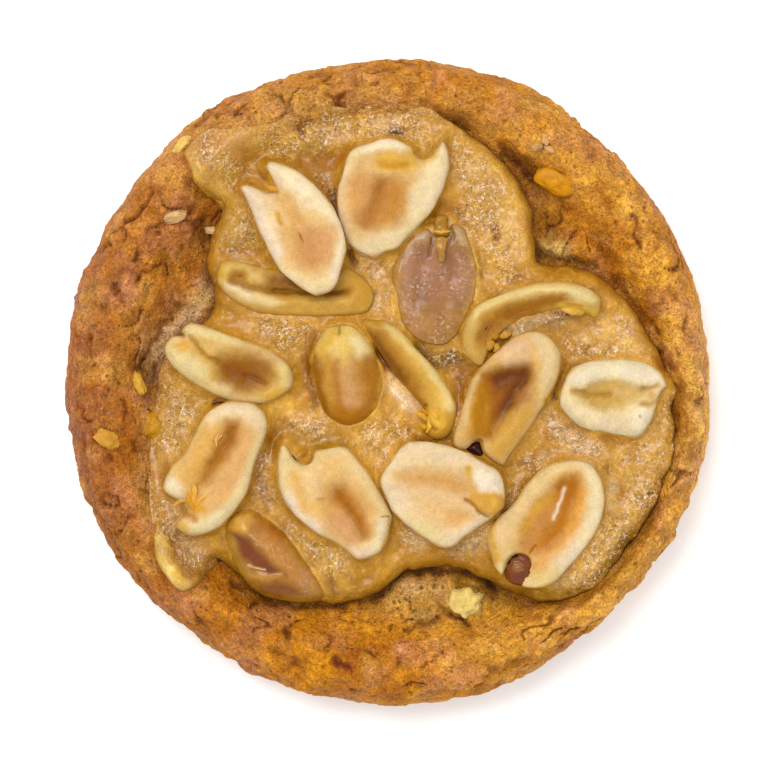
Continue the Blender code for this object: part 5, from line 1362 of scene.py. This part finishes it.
class Finish:
    """A material being made: its paint and its relief, to which tints, grains, flecks and pores are added in
    turn. It starts from the paint that the mesh carries, and the froth and glints mask is where the surface
    froths or gets painted glints."""

    def __init__(self, name):
        self.material = bpy.data.materials.new(name)
        self.material.use_nodes = True
        self.tree = self.material.node_tree
        self.shader = self.tree.nodes["Principled BSDF"]
        self.colour = add(self.tree, "ShaderNodeAttribute", {}, "Color", attribute_name="paint")
        self.froth_and_glints = add(self.tree, "ShaderNodeAttribute", {}, "Fac", attribute_name="froth_and_glints")
        self.raised = []
        self.seed = 0

    def pattern(self, size, detail):
        """Noise size mm across, each time moved and turned to another part of the noise."""
        self.seed += 1
        moved = {"Location": tuple(step * self.seed for step in PATTERN_STEP)}
        moved["Vector"] = add(self.tree, "ShaderNodeTexCoord", {}, "Object")
        moved["Rotation"] = (0.0, 0.0, PATTERN_TURN * self.seed)
        place = add(self.tree, "ShaderNodeMapping", moved)
        inputs = {"Vector": place, "Scale": 1 / (size * MM), "Detail": detail}
        inputs["Roughness"] = PATTERN_ROUGHNESS
        return add(self.tree, "ShaderNodeTexNoise", inputs, "Fac")

    def grained(self, size, swing, height, amount=1.0, detail=3.0):
        """Grains size mm wide that lighten and darken the paint by up to swing and stand height mm high."""
        grain = self.pattern(size, detail)
        low, high = GRAIN_SPAN
        ends = {"Value": grain, "From Min": low, "From Max": high, "To Min": 1 - swing, "To Max": 1 + swing}
        shade = add(self.tree, "ShaderNodeMapRange", ends)
        toned = add(self.tree, "ShaderNodeVectorMath", {0: self.colour, "Scale": shade}, operation="SCALE")
        inputs = {0: amount, MIX_A: self.colour, MIX_B: toned}
        self.colour = add(self.tree, "ShaderNodeMix", inputs, MIX_RESULT, data_type="RGBA")
        self.raised.append((grain, height, amount))

    def shifted(self, size, first, second):
        """Areas size mm wide where the paint leans to one tint or the other."""
        low, high = TINT_SPAN
        ends = {"Value": self.pattern(size, 2.0), "From Min": low, "From Max": high}
        share = add(self.tree, "ShaderNodeMapRange", ends)
        tint = {0: share, MIX_A: (*first, 1.0), MIX_B: (*second, 1.0)}
        tint = add(self.tree, "ShaderNodeMix", tint, MIX_RESULT, data_type="RGBA")
        inputs = {0: self.colour, 1: tint}
        self.colour = add(self.tree, "ShaderNodeVectorMath", inputs, operation="MULTIPLY")

    def flecked(self, size, level, colour, cover, height, amount=1.0, *, bare, detail, spread):
        """Flecks of another colour where noise size mm across rises from the level by the spread."""
        ends = {"Value": self.pattern(size, detail), "From Min": level, "From Max": level + spread}
        fleck = add(self.tree, "ShaderNodeMapRange", ends)
        self.mark(fleck, size * 5, colour, cover, height, amount, bare)

    def pored(self, size, radius, colour, cover, height, amount=1.0, *, bare):
        """Round pores of a radius in cell sizes, one to each cell size mm wide."""
        place = add(self.tree, "ShaderNodeTexCoord", {}, "Object")
        inputs = {"Vector": place, "Scale": 1 / (size * MM)}
        away = add(self.tree, "ShaderNodeTexVoronoi", inputs, "Distance")
        ends = {"Value": away, "From Min": radius, "From Max": radius / 3}
        spot = add(self.tree, "ShaderNodeMapRange", ends)
        self.mark(spot, size * 2.5, colour, cover, height, amount, bare)

    def mark(self, shape, size, colour, cover, height, amount, bare):
        """Paints and raises a shape, but leaves bare the areas where noise size mm across is under bare."""
        low, high = BARE_SPAN
        ends = {"Value": self.pattern(size, 2.0), "From Min": bare + low, "From Max": bare + high}
        kept = add(self.tree, "ShaderNodeMapRange", ends)
        shape = add(self.tree, "ShaderNodeMath", {0: shape, 1: kept}, operation="MULTIPLY")
        shape = add(self.tree, "ShaderNodeMath", {0: shape, 1: amount}, operation="MULTIPLY")
        weight = add(self.tree, "ShaderNodeMath", {0: shape, 1: cover}, operation="MULTIPLY")
        inputs = {0: weight, MIX_A: self.colour, MIX_B: (*linear(colour), 1.0)}
        self.colour = add(self.tree, "ShaderNodeMix", inputs, MIX_RESULT, data_type="RGBA")
        self.raised.append((shape, height, 1.0))

    def done(self, roughness, **inputs):
        """Links the paint and a chain of bumps, one to each relief, and sets the shader's other inputs."""
        self.tree.links.new(self.colour, self.shader.inputs["Base Color"])
        relief = {}
        for shape, height, amount in self.raised:
            step = {"Height": shape, "Distance": abs(height) * MM, "Strength": amount, **relief}
            relief = {"Normal": add(self.tree, "ShaderNodeBump", step, invert=height < 0)}
        self.tree.links.new(relief["Normal"], self.shader.inputs["Normal"])
        self.shader.inputs["Roughness"].default_value = roughness
        for key, value in inputs.items():
            self.shader.inputs[key.replace("_", " ")].default_value = value
        return self.material


def dough_material():
    """Baked_dough: short butter dough, baked until its sugar browned unevenly. Dry, matt and grainy close up,
    with sugar grains of 0.24 mm among crumb of 0.5 and 1.1 mm, small pale flecks that are partly crumbs and
    partly painted glints, toasted pores and brown flecks, and areas a few mm wide that turned pinkish or
    golden."""
    look = Finish("baked_dough")
    look.shifted(2.6, (1.04, 1.04, 0.74), (0.99, 0.94, 1.16))
    look.grained(1.1, 0.16, 0.20)
    look.grained(0.5, 0.24, 0.20)
    look.grained(0.24, 0.34, 0.08, detail=2.0)
    look.flecked(0.5, 0.60, "D8A070", 0.35, 0.10, bare=0.48, detail=2.0, spread=0.10)
    look.pored(1.3, 0.17, "6E3610", 0.65, -0.18, bare=0.50)
    look.flecked(0.6, 0.62, "8A4E1A", 0.5, -0.12, bare=0.42, detail=2.0, spread=0.08)
    return look.done(0.65, Specular_IOR_Level=0.12)


def praline_material():
    """Praline: sugar, butter and honey boiled together and poured over the nuts. It set as a satin amber
    glaze where it ran clear, and where it foamed as a paler froth with brown pores and small bright flecks,
    which are painted glints. Real froth is finer; its bubbles are drawn 0.3 to 0.7 mm wide so that they show."""
    look = Finish("praline")
    look.shifted(1.8, (1.04, 1.03, 0.70), (1.00, 0.96, 1.05))
    look.grained(0.9, 0.14, 0.18)
    look.grained(0.22, 0.16, 0.05)
    look.grained(0.38, 0.30, 0.18, look.froth_and_glints)
    look.pored(0.7, 0.22, "7A4410", 0.7, -0.1, look.froth_and_glints, bare=0.46)
    look.flecked(0.45, 0.51, "E9CA9C", 0.48, 0.12, look.froth_and_glints, bare=0.38, detail=1.0, spread=0.16)
    look.flecked(0.32, 0.59, "FBEBDC", 0.55, 0.06, look.froth_and_glints, bare=0.42, detail=1.0, spread=0.12)
    look.flecked(0.7, 0.57, "E4BC74", 0.22, 0.02, bare=0.48, detail=1.0, spread=0.15)
    return look.done(0.5, Specular_IOR_Level=0.0, Coat_Weight=0.45, Coat_Roughness=0.26)


def nut_material():
    """Roasted_peanut: blanched halves, dry roasted, so that their edges stay cream and their hollows turn
    tan. Almost matt, with a faint waxy sheen and a fine fibre of 0.16 to 0.9 mm."""
    look = Finish("roasted_peanut")
    look.shifted(1.6, (1.01, 1.01, 0.92), (1.00, 0.985, 1.04))
    look.grained(0.9, 0.045, 0.07)
    look.grained(0.35, 0.07, 0.06)
    look.grained(0.16, 0.08, 0.02, detail=2.0)
    return look.done(0.5, Specular_IOR_Level=0.05, Coat_Weight=0.1, Coat_Roughness=0.2)


def skin_material():
    """Peanut_skin: the thin brown skin that stays on some halves, glazed by the praline. It is glossy and
    finely creased, with small pale glints painted where a crease catches the light."""
    look = Finish("peanut_skin")
    look.shifted(1.6, (1.03, 1.02, 0.86), (1.00, 0.97, 1.04))
    look.grained(0.9, 0.09, 0.14)
    look.grained(0.4, 0.08, 0.10)
    look.grained(0.35, 0.20, 0.14, look.froth_and_glints)
    look.flecked(0.34, 0.54, "E8CCC4", 0.50, 0.06, look.froth_and_glints, bare=0.42, detail=2.0, spread=0.18)
    return look.done(0.42, Specular_IOR_Level=0.05, Coat_Weight=0.45, Coat_Roughness=0.2)


def crust(material):
    """The dough case's skin. Each point of the profile is pushed out along its lean by the baked lumps, by
    crags of noise at three sizes, by crumbs round scattered points, by the marks, and inwards by cracks,
    where one noise passes through zero, and by pits. All that fades out under the praline."""
    angles = np.radians(np.arange(CRUST_STEPS) * 360 / CRUST_STEPS)
    radii, height, lean = dough_profile(angles)
    x, y = radii * np.cos(angles), radii * np.sin(angles)
    points = np.stack([x, y, height], axis=-1)
    # How far off the praline is, and how bare the dough.
    outside = -praline_distance(x, y)
    thin = thinned(x, y)
    bare = smooth(outside / BARE_WIDTH + 0.4 + 1.2 * thin)
    # The relief, each kind of it stronger in some areas than in others.
    shifted = stirred(points, 0.5, 1)
    rough = 0.8 + 0.4 * noise(points, 9.0, 8)
    crack = bell(noise(shifted, 2.4, 5), CRACK_WIDTH) * smooth(1.8 * noise(points, 3.2, 9) - 0.05)
    pit = bell(cells(shifted, PIT_SPACING, 6), PIT_WIDTH) * smooth(0.2 + 1.6 * noise(points, 3.5, 12))
    crags = layered(shifted, *COARSE_CRAGS) + layered(points, FINE_CRAGS)
    crumb = smooth(0.5 + 1.2 * noise(points, 6.0, 19)) * (CRUMB_WIDTH - cells(shifted, CRUMB_SPACING, 18))
    relief = rough * crags + CRUMB_HEIGHT * crumb - CRACK_DEPTH * crack - PIT_DEPTH * pit
    # The paint: tones with painted light, browned patches, the praline's own colour where that runs out to a
    # film, and marks, some of them painted shadow. Every hollow is darker and every bump lighter, as painted
    # shade and light, and painted shade darkens the dough along the praline.
    wx, wy = warped(x, y, height, 0.6)
    paint, _ = painted(coated(points, CRUST_COLOUR), CRUST_TONES_AND_LIGHT, wx, wy)
    for seed, (size, colour, strength) in enumerate(CRUST_PATCHES, start=CRUST_PATCH_SEED):
        paint = covered(paint, colour, strength * smooth(1.8 * noise(shifted, size, seed) - 0.2))
    paint = covered(paint, THIN_COLOUR, 0.7 * thin * smooth(1 - outside / 2.5))
    paint, rise = painted(paint, CRUST_MARKS, wx, wy)
    paint = covered(paint, CRACK_COLOUR, 0.6 * crack)
    shade = bell(np.clip(outside, 0, REACH), SHADE_SPREAD) * (1 - thin)
    paint = covered(paint, SHADE_COLOUR, shade * (0.20 + 0.4 * noise(points, 1.5, 16)))
    # The tone is painted shade and light: darker in hollows, cracks and pits, lighter on bumps and crumbs.
    tone = 0.98 + 0.6 * crags + 0.65 * crumb + 0.12 * noise(points, 5.0, 17) - 0.45 * crack - 0.55 * pit
    paint = paint * np.clip(tone, 0.2, 1.7)[..., None] ** np.array(CRUST_TONE_POWERS)
    # The profile pushed out, and the plain flat base.
    push = bare * (LUMP_SHARE * lumps(x, y, height) + relief + rise) - UNDER_PRALINE * (1 - bare)
    radii, height = radii + push * np.sin(lean), height + push * np.cos(lean)
    base = FOOT_RADIUS * np.array(BASE_SHARES)[:, None] * np.ones_like(angles)
    radii, height = np.concatenate([radii, base]), np.concatenate([height, 0 * base])
    paint = np.concatenate([paint, np.ones((*base.shape, 3)) * linear(BASE_COLOUR)])
    rings = surface(radii * np.cos(angles), radii * np.sin(angles), height, paint)
    build("dough_crust", [rings], material, "baked_dough", ["dough_case"])


def praline(material):
    """The praline: rings that shrink the traced outline towards the middle. Its height is its gently tilted
    level or the film over the dough where that is higher, joined by the soft maximum log(e^a + e^b) and
    rounded down along the outline by a quarter circle. Noise swells and froth lumps stand on it. It dips
    beside each nut, climbs it by a falling exponential, and drops from DROP_FROM inside the nut's outline,
    so that the nut covers its end."""
    edge = praline_edge(PRALINE_STEPS)
    share = np.concatenate([ring_shares(*PRALINE_RINGS), PRALINE_UNDER])[:, None]
    x, y = share * edge[:, 0], share * edge[:, 1]
    angles, radius = np.arctan2(y, x), np.hypot(x, y)
    # The level or the film, and the rounded edge.
    towards = math.radians(PRALINE_TILT_TOWARDS)
    level = PRALINE_LEVEL + PRALINE_TILT * (x * math.cos(towards) + y * math.sin(towards)) / OUTER_RADIUS
    bed = dough_height(radius, angles)
    thin = thinned(x, y)
    film = bed + PRALINE_FILM * (1 - 0.75 * thin)
    top = film + PRALINE_BLEND * np.logaddexp(0, (level - film) / PRALINE_BLEND)
    inside = praline_distance(x, y)
    inward = np.clip(inside / (PRALINE_EDGE_WIDTH * (1 + thin)), 0, 1)
    height = bed - 0.2 + (top - bed + 0.2) * rounded(inward)
    # How far off the nearest nut is, and how high the praline climbs it.
    away, climb = np.full(x.shape, REACH), np.zeros(x.shape)
    for nut in HALVES:
        apart = -signed_distance(closed_spline(nut.outline, NUT_OUTLINE_STEPS), x, y, NUT_REACH)
        away = np.minimum(away, apart)
        reach = np.clip(nut.edge_line(x, y) + nut.wetted - top, 0, CLIMB_LIMIT)
        climb = np.maximum(climb, reach * np.exp(-np.clip(apart, 0, REACH) / CLIMB_FALL))
    beside, under_nut = np.clip(away, 0, REACH), np.clip(-away - DROP_FROM, 0, REACH)
    points = flat(x, y)
    climb = climb * smooth(0.9 + 0.6 * noise(points, 2.6, 71)) * np.exp(-under_nut / CLIMB_FALL_INSIDE)
    # Froth, which thins out close to the nuts, and the swells that it stands on.
    wx, wy = warped(x, y, 0 * x, 0.5)
    froth_and_glints = froth_and_glint_weight(FROTH_AND_SPARKLES, wx, wy)
    close = np.exp(-beside / POOL_AND_SHADE_WIDTH)
    froth_and_glints = np.clip(froth_and_glints * (1.1 + 0.7 * noise(points, 1.6, 26)), 0, 1) * (1 - 0.7 * close)
    swell = layered(points, *PRALINE_SWELLS)
    swell = swell + (0.03 + 0.09 * froth_and_glints) * noise(points, 0.5, 27)
    shifted = stirred(points, 0.4, 61)
    swell = swell + FROTH_HEIGHT * np.maximum(froth_and_glints, 0.35) * (0.45 - cells(shifted, FROTH_SPACING, 64))
    # The paint: marks, brown pools close to the nuts that are partly painted shade, painted shade along
    # the edge, and the dough's tan where it thins out.
    paint, rise = painted(coated(points, PRALINE_COLOUR), PRALINE_MARKS, wx, wy)
    paint = covered(paint, POOL_AND_SHADE_COLOUR, close * (0.08 + 0.45 * noise(points, 2.2, 28)))
    paint = covered(paint, EDGE_SHADE_COLOUR, 0.5 * (1 - thin) * bell(inside, 0.45))
    merge = thin * smooth(1.2 - inside / 1.6 + 0.9 * noise(points, 1.3, 29))
    paint = covered(paint, THIN_COLOUR, 0.8 * merge)
    froth_and_glints = np.maximum(froth_and_glints, 0.55 * merge)
    # The tone is lighter where the praline swells up and darker where it sinks: painted light and shade.
    tone = 1 + 0.18 * noise(points, 2.6, 24) + 0.14 * noise(points, 0.9, 25) + 0.38 * swell
    paint = paint * tone[..., None] ** np.array(PRALINE_TONE_POWERS)
    # The height, and the underside just below the top of the dough.
    dip = DIP_DEPTH * bell(away - DIP_DISTANCE, DIP_WIDTH)
    height = height + inward * (swell + rise + climb - dip)
    height = height - np.clip(-DROP_SLOPE * (away + DROP_FROM), 0, DROP_DEPTH)
    count = len(PRALINE_UNDER)
    height[-count:] = bed[-count:] - 0.6
    height[-count - 1] = bed[-count - 1] - 0.3
    build("praline_layer", [surface(x, y, height, paint, froth_and_glints)], material, "praline", ["praline"])


def half(number, nut, material):
    """A peanut half. Its face is rings that shrink from its traced outline, made a little uneven by noise, to
    an oval round its spine, and then along the spine to its middle: target(t) + share * off, where t slides
    to the middle below NUT_SPINE_SHARE. Off keeps only its slow waves near the middle, by a share^4 blend.
    The face rounds up from the edge line to the crown by a quarter circle, its marks raise or sink it, and
    its back is a bowl, (1 - share^2.5)^0.6, below the edge line. Parts of the edge are darker."""
    # The outline, and how far each point of it is off the spine.
    edge = closed_spline(nut.outline, NUT_STEPS)
    middle = edge.mean(axis=0)
    knobs = flat(*edge.T)
    edge = edge + NUT_KNOBS * np.stack([noise(knobs, 1.1, 36), noise(knobs, 1.1, 37)], axis=-1)
    share = np.concatenate([ring_shares(*NUT_RINGS), NUT_UNDER])[:, None, None]
    spine = np.array(nut.spine if nut.spine else (middle, middle))
    along = np.linspace(0, len(spine) - 1, SPINE_STEPS + 1)
    line = np.stack([np.interp(along, np.arange(len(spine)), axis) for axis in spine.T], axis=-1)
    nearest = np.hypot(*np.moveaxis(edge[:, None] - line[None], -1, 0)).argmin(axis=1)
    off = edge - line[nearest]
    # The rings, and how calm they are near the middle.
    halfway = SPINE_STEPS // 2
    slid = halfway + (nearest - halfway) * np.clip(share / NUT_SPINE_SHARE, 0, 1)[..., 0]
    target = np.stack([np.interp(slid, np.arange(SPINE_STEPS + 1), axis) for axis in line.T], axis=-1)
    ripple = bell(np.fft.fftfreq(NUT_STEPS) * NUT_STEPS, CALM_WAVES)[:, None]
    calm = np.fft.ifft(np.fft.fft(off, axis=0) * ripple, axis=0).real
    keep = share**4
    x, y = np.moveaxis(target + share * (keep * off + (1 - keep) * calm), -1, 0)
    # The face, and its paint.
    plane = nut.edge_line(x, y)
    points = np.stack([x, y, plane], axis=-1) + number
    outline = closed_spline(nut.outline, FACE_OUTLINE_STEPS)
    away = np.clip(signed_distance(outline, x, y, FACE_REACH), 0, REACH)
    face = nut.crown * rounded(np.clip(away / nut.shoulder, 0, 1))
    wx, wy = warped(x + number, y, plane, 0.25)
    middle_colour, rim_colour = nut.colours
    paint = covered(coated(points, middle_colour), rim_colour, bell(away, NUT_RIM_WIDTH))
    paint, rise = painted(paint, nut.marks, wx - number, wy)
    darker_edge = smooth(0.6 + 0.8 * noise(points, 1.8, 35)) * bell(away, NUT_EDGE_WIDTH)
    paint = covered(paint, NUT_EDGE_COLOUR, 0.6 * darker_edge)
    tone = 1 + 0.07 * noise(points, 1.6, 31) + 0.06 * noise(points, 0.6, 32)
    paint = paint * tone[..., None]
    # The height of the face, and of the bowl under it.
    uneven = layered(points, (0.08, 2.4, 33), (0.035, 0.9, 34))
    height = plane + face + np.clip(away / NUT_RELIEF_STRIP, 0, 1) * (rise + uneven)
    bowl = (1 - share[..., 0] ** 2.5) ** 0.6
    count = len(NUT_UNDER)
    height[-count:] = (plane - nut.below * bowl)[-count:]
    slot_name = "peanut_skin" if nut.skin else "roasted_peanut"
    rings = surface(x, y, height, paint, froth_and_glint_weight(nut.glints, wx - number, wy))
    build(f"peanut_{number:02d}", [rings], material, slot_name, [f"peanut_half_{number:02d}"])


def chip(bit, shift):
    """A chopped bit: a shard cut by flat faces, so that its radius towards n is the least of 1.1 / (n . face)
    over the faces, with blunt points if it has any, roughened by noise, stretched to its sizes, turned, and
    sunk a little into the dough."""
    up = np.linspace(0, math.pi, CHIP_RINGS)[:, None]
    turn = (np.arange(CHIP_STEPS) * 2 * math.pi / CHIP_STEPS)[None, :]
    ball = np.stack([np.sin(up) * np.cos(turn), np.sin(up) * np.sin(turn), np.cos(up) + 0 * turn], axis=-1)
    faces = np.random.default_rng(int(shift)).normal(size=(CHIP_FACES, 3))
    faces = faces / np.linalg.norm(faces, axis=-1, keepdims=True)
    cut = 1.1 / np.clip((ball @ faces.T).max(axis=-1), 0.75, 1)
    push = cut + 0.14 * noise(ball * 2.6 + shift, 1.0, 51) + 0.10 * noise(ball * 6 + shift, 1.0, 52)
    push = push * (1 + 0.045 * min(bit.points, 1) * np.cos(bit.points * turn) * np.sin(up) ** 2)
    made = ball * push[..., None] * np.array([bit.long, bit.short, bit.high]) / 2
    c, s = math.cos(math.radians(bit.turn)), math.sin(math.radians(bit.turn))
    made = made @ np.array([[c, s, 0], [-s, c, 0], [0, 0, 1]])
    made = made + np.array([bit.x, bit.y, dough_top(bit.x, bit.y) + bit.lift + bit.high * CHIP_STANDING])
    tone = 1 + 0.14 * noise(made, 0.6, 53) + 0.10 * noise(made, 0.3, 54)
    return surface(*np.moveaxis(made, -1, 0), coated(made, bit.colour) * tone[..., None])


def stalk(piece):
    """A flake or germ: rings across its middle line whose half width follows the given ones, closed at both
    ends by the steep root curve (1 - |2t - 1|^5)^0.5, flattened upwards and roughened by noise."""
    t = (1 - np.cos(np.linspace(0, math.pi, STALK_RINGS))) / 2
    knots = np.linspace(0, 1, len(piece.path))
    middle = np.stack([np.interp(t, knots, axis) for axis in np.array(piece.path).T], axis=-1)
    ahead = np.gradient(middle, axis=0)
    ahead = ahead / np.linalg.norm(ahead, axis=-1, keepdims=True)
    side = np.stack([ahead[:, 1], -ahead[:, 0], 0 * t], axis=-1)[:, None]
    width = np.interp(t, knots, piece.widths) * np.clip(1 - np.abs(2 * t - 1) ** 5, 0, 1) ** 0.5
    turn = (np.arange(STALK_STEPS) * 2 * math.pi / STALK_STEPS)[None, :, None]
    across = np.cos(turn) * side + np.sin(turn) * piece.flat * np.array([0.0, 0.0, 1.0])
    made = middle[:, None] + width[:, None, None] * across
    rough = 1 + 0.25 * noise(made, 0.5, 55) + 0.12 * noise(made, 0.25, 56)
    made = middle[:, None] + width[:, None, None] * across * rough[..., None]
    tone = 1 + 0.16 * noise(made, 0.5, 57)
    return surface(*np.moveaxis(made, -1, 0), coated(made, piece.colour) * tone[..., None])


def stage():
    """A pale floor, a bright even sky, one broad soft light from above left, and a camera straight above."""
    mesh = bpy.data.meshes.new("floor")
    reach = FLOOR_REACH
    corners = [(-reach, -reach, 0), (reach, -reach, 0), (reach, reach, 0), (-reach, reach, 0)]
    mesh.from_pydata(corners, [], [(0, 1, 2, 3)])
    floor = bpy.data.objects.new("floor", mesh)
    bpy.context.scene.collection.objects.link(floor)
    material = bpy.data.materials.new("pale_table")
    material.use_nodes = True
    shader = material.node_tree.nodes["Principled BSDF"]
    shader.inputs["Base Color"].default_value = (*linear(FLOOR_COLOUR), 1)
    shader.inputs["Roughness"].default_value = 0.9
    mesh.materials.append(material)
    floor.location.z = -FLOOR_DROP
    world = bpy.data.worlds.new("studio")
    world.use_nodes = True
    world.node_tree.nodes["Background"].inputs["Color"].default_value = (1, 1, 1, 1)
    world.node_tree.nodes["Background"].inputs["Strength"].default_value = SKY
    bpy.context.scene.world = world
    lamp = bpy.data.lights.new("overhead", "AREA")
    lamp.shape = "DISK"
    lamp.size = LAMP_SIZE
    lamp.energy = LAMP_POWER
    light = bpy.data.objects.new("overhead", lamp)
    light.location = LAMP_PLACE
    light.rotation_mode = "QUATERNION"
    light.rotation_quaternion = (-light.location).to_track_quat("-Z", "Y")
    bpy.context.scene.collection.objects.link(light)
    camera = bpy.data.cameras.new("camera")
    camera.lens = LENS
    camera.sensor_width = SENSOR
    camera.clip_start = 0.01
    eye = bpy.data.objects.new("camera", camera)
    eye.location = (*EYE_PLACE, SEEN_HEIGHT + SEEN_WIDTH * LENS / SENSOR)
    bpy.context.scene.collection.objects.link(eye)
    bpy.context.scene.camera = eye
    bpy.context.scene.view_settings.view_transform = "Standard"


nut_look = nut_material()
skin_look = skin_material()
crust(dough_material())
praline(praline_material())
for index, nut in enumerate(HALVES, start=1):
    half(index, nut, skin_look if nut.skin else nut_look)
build("peanut_chips", [chip(bit, 9.0 * i) for i, bit in enumerate(CHIPS)], nut_look, "roasted_peanut")
build("peanut_germs", [stalk(piece) for piece in GERMS], skin_look, "peanut_skin")
build("peanut_flakes", [stalk(piece) for piece in FLAKES], nut_look, "roasted_peanut")
stage()
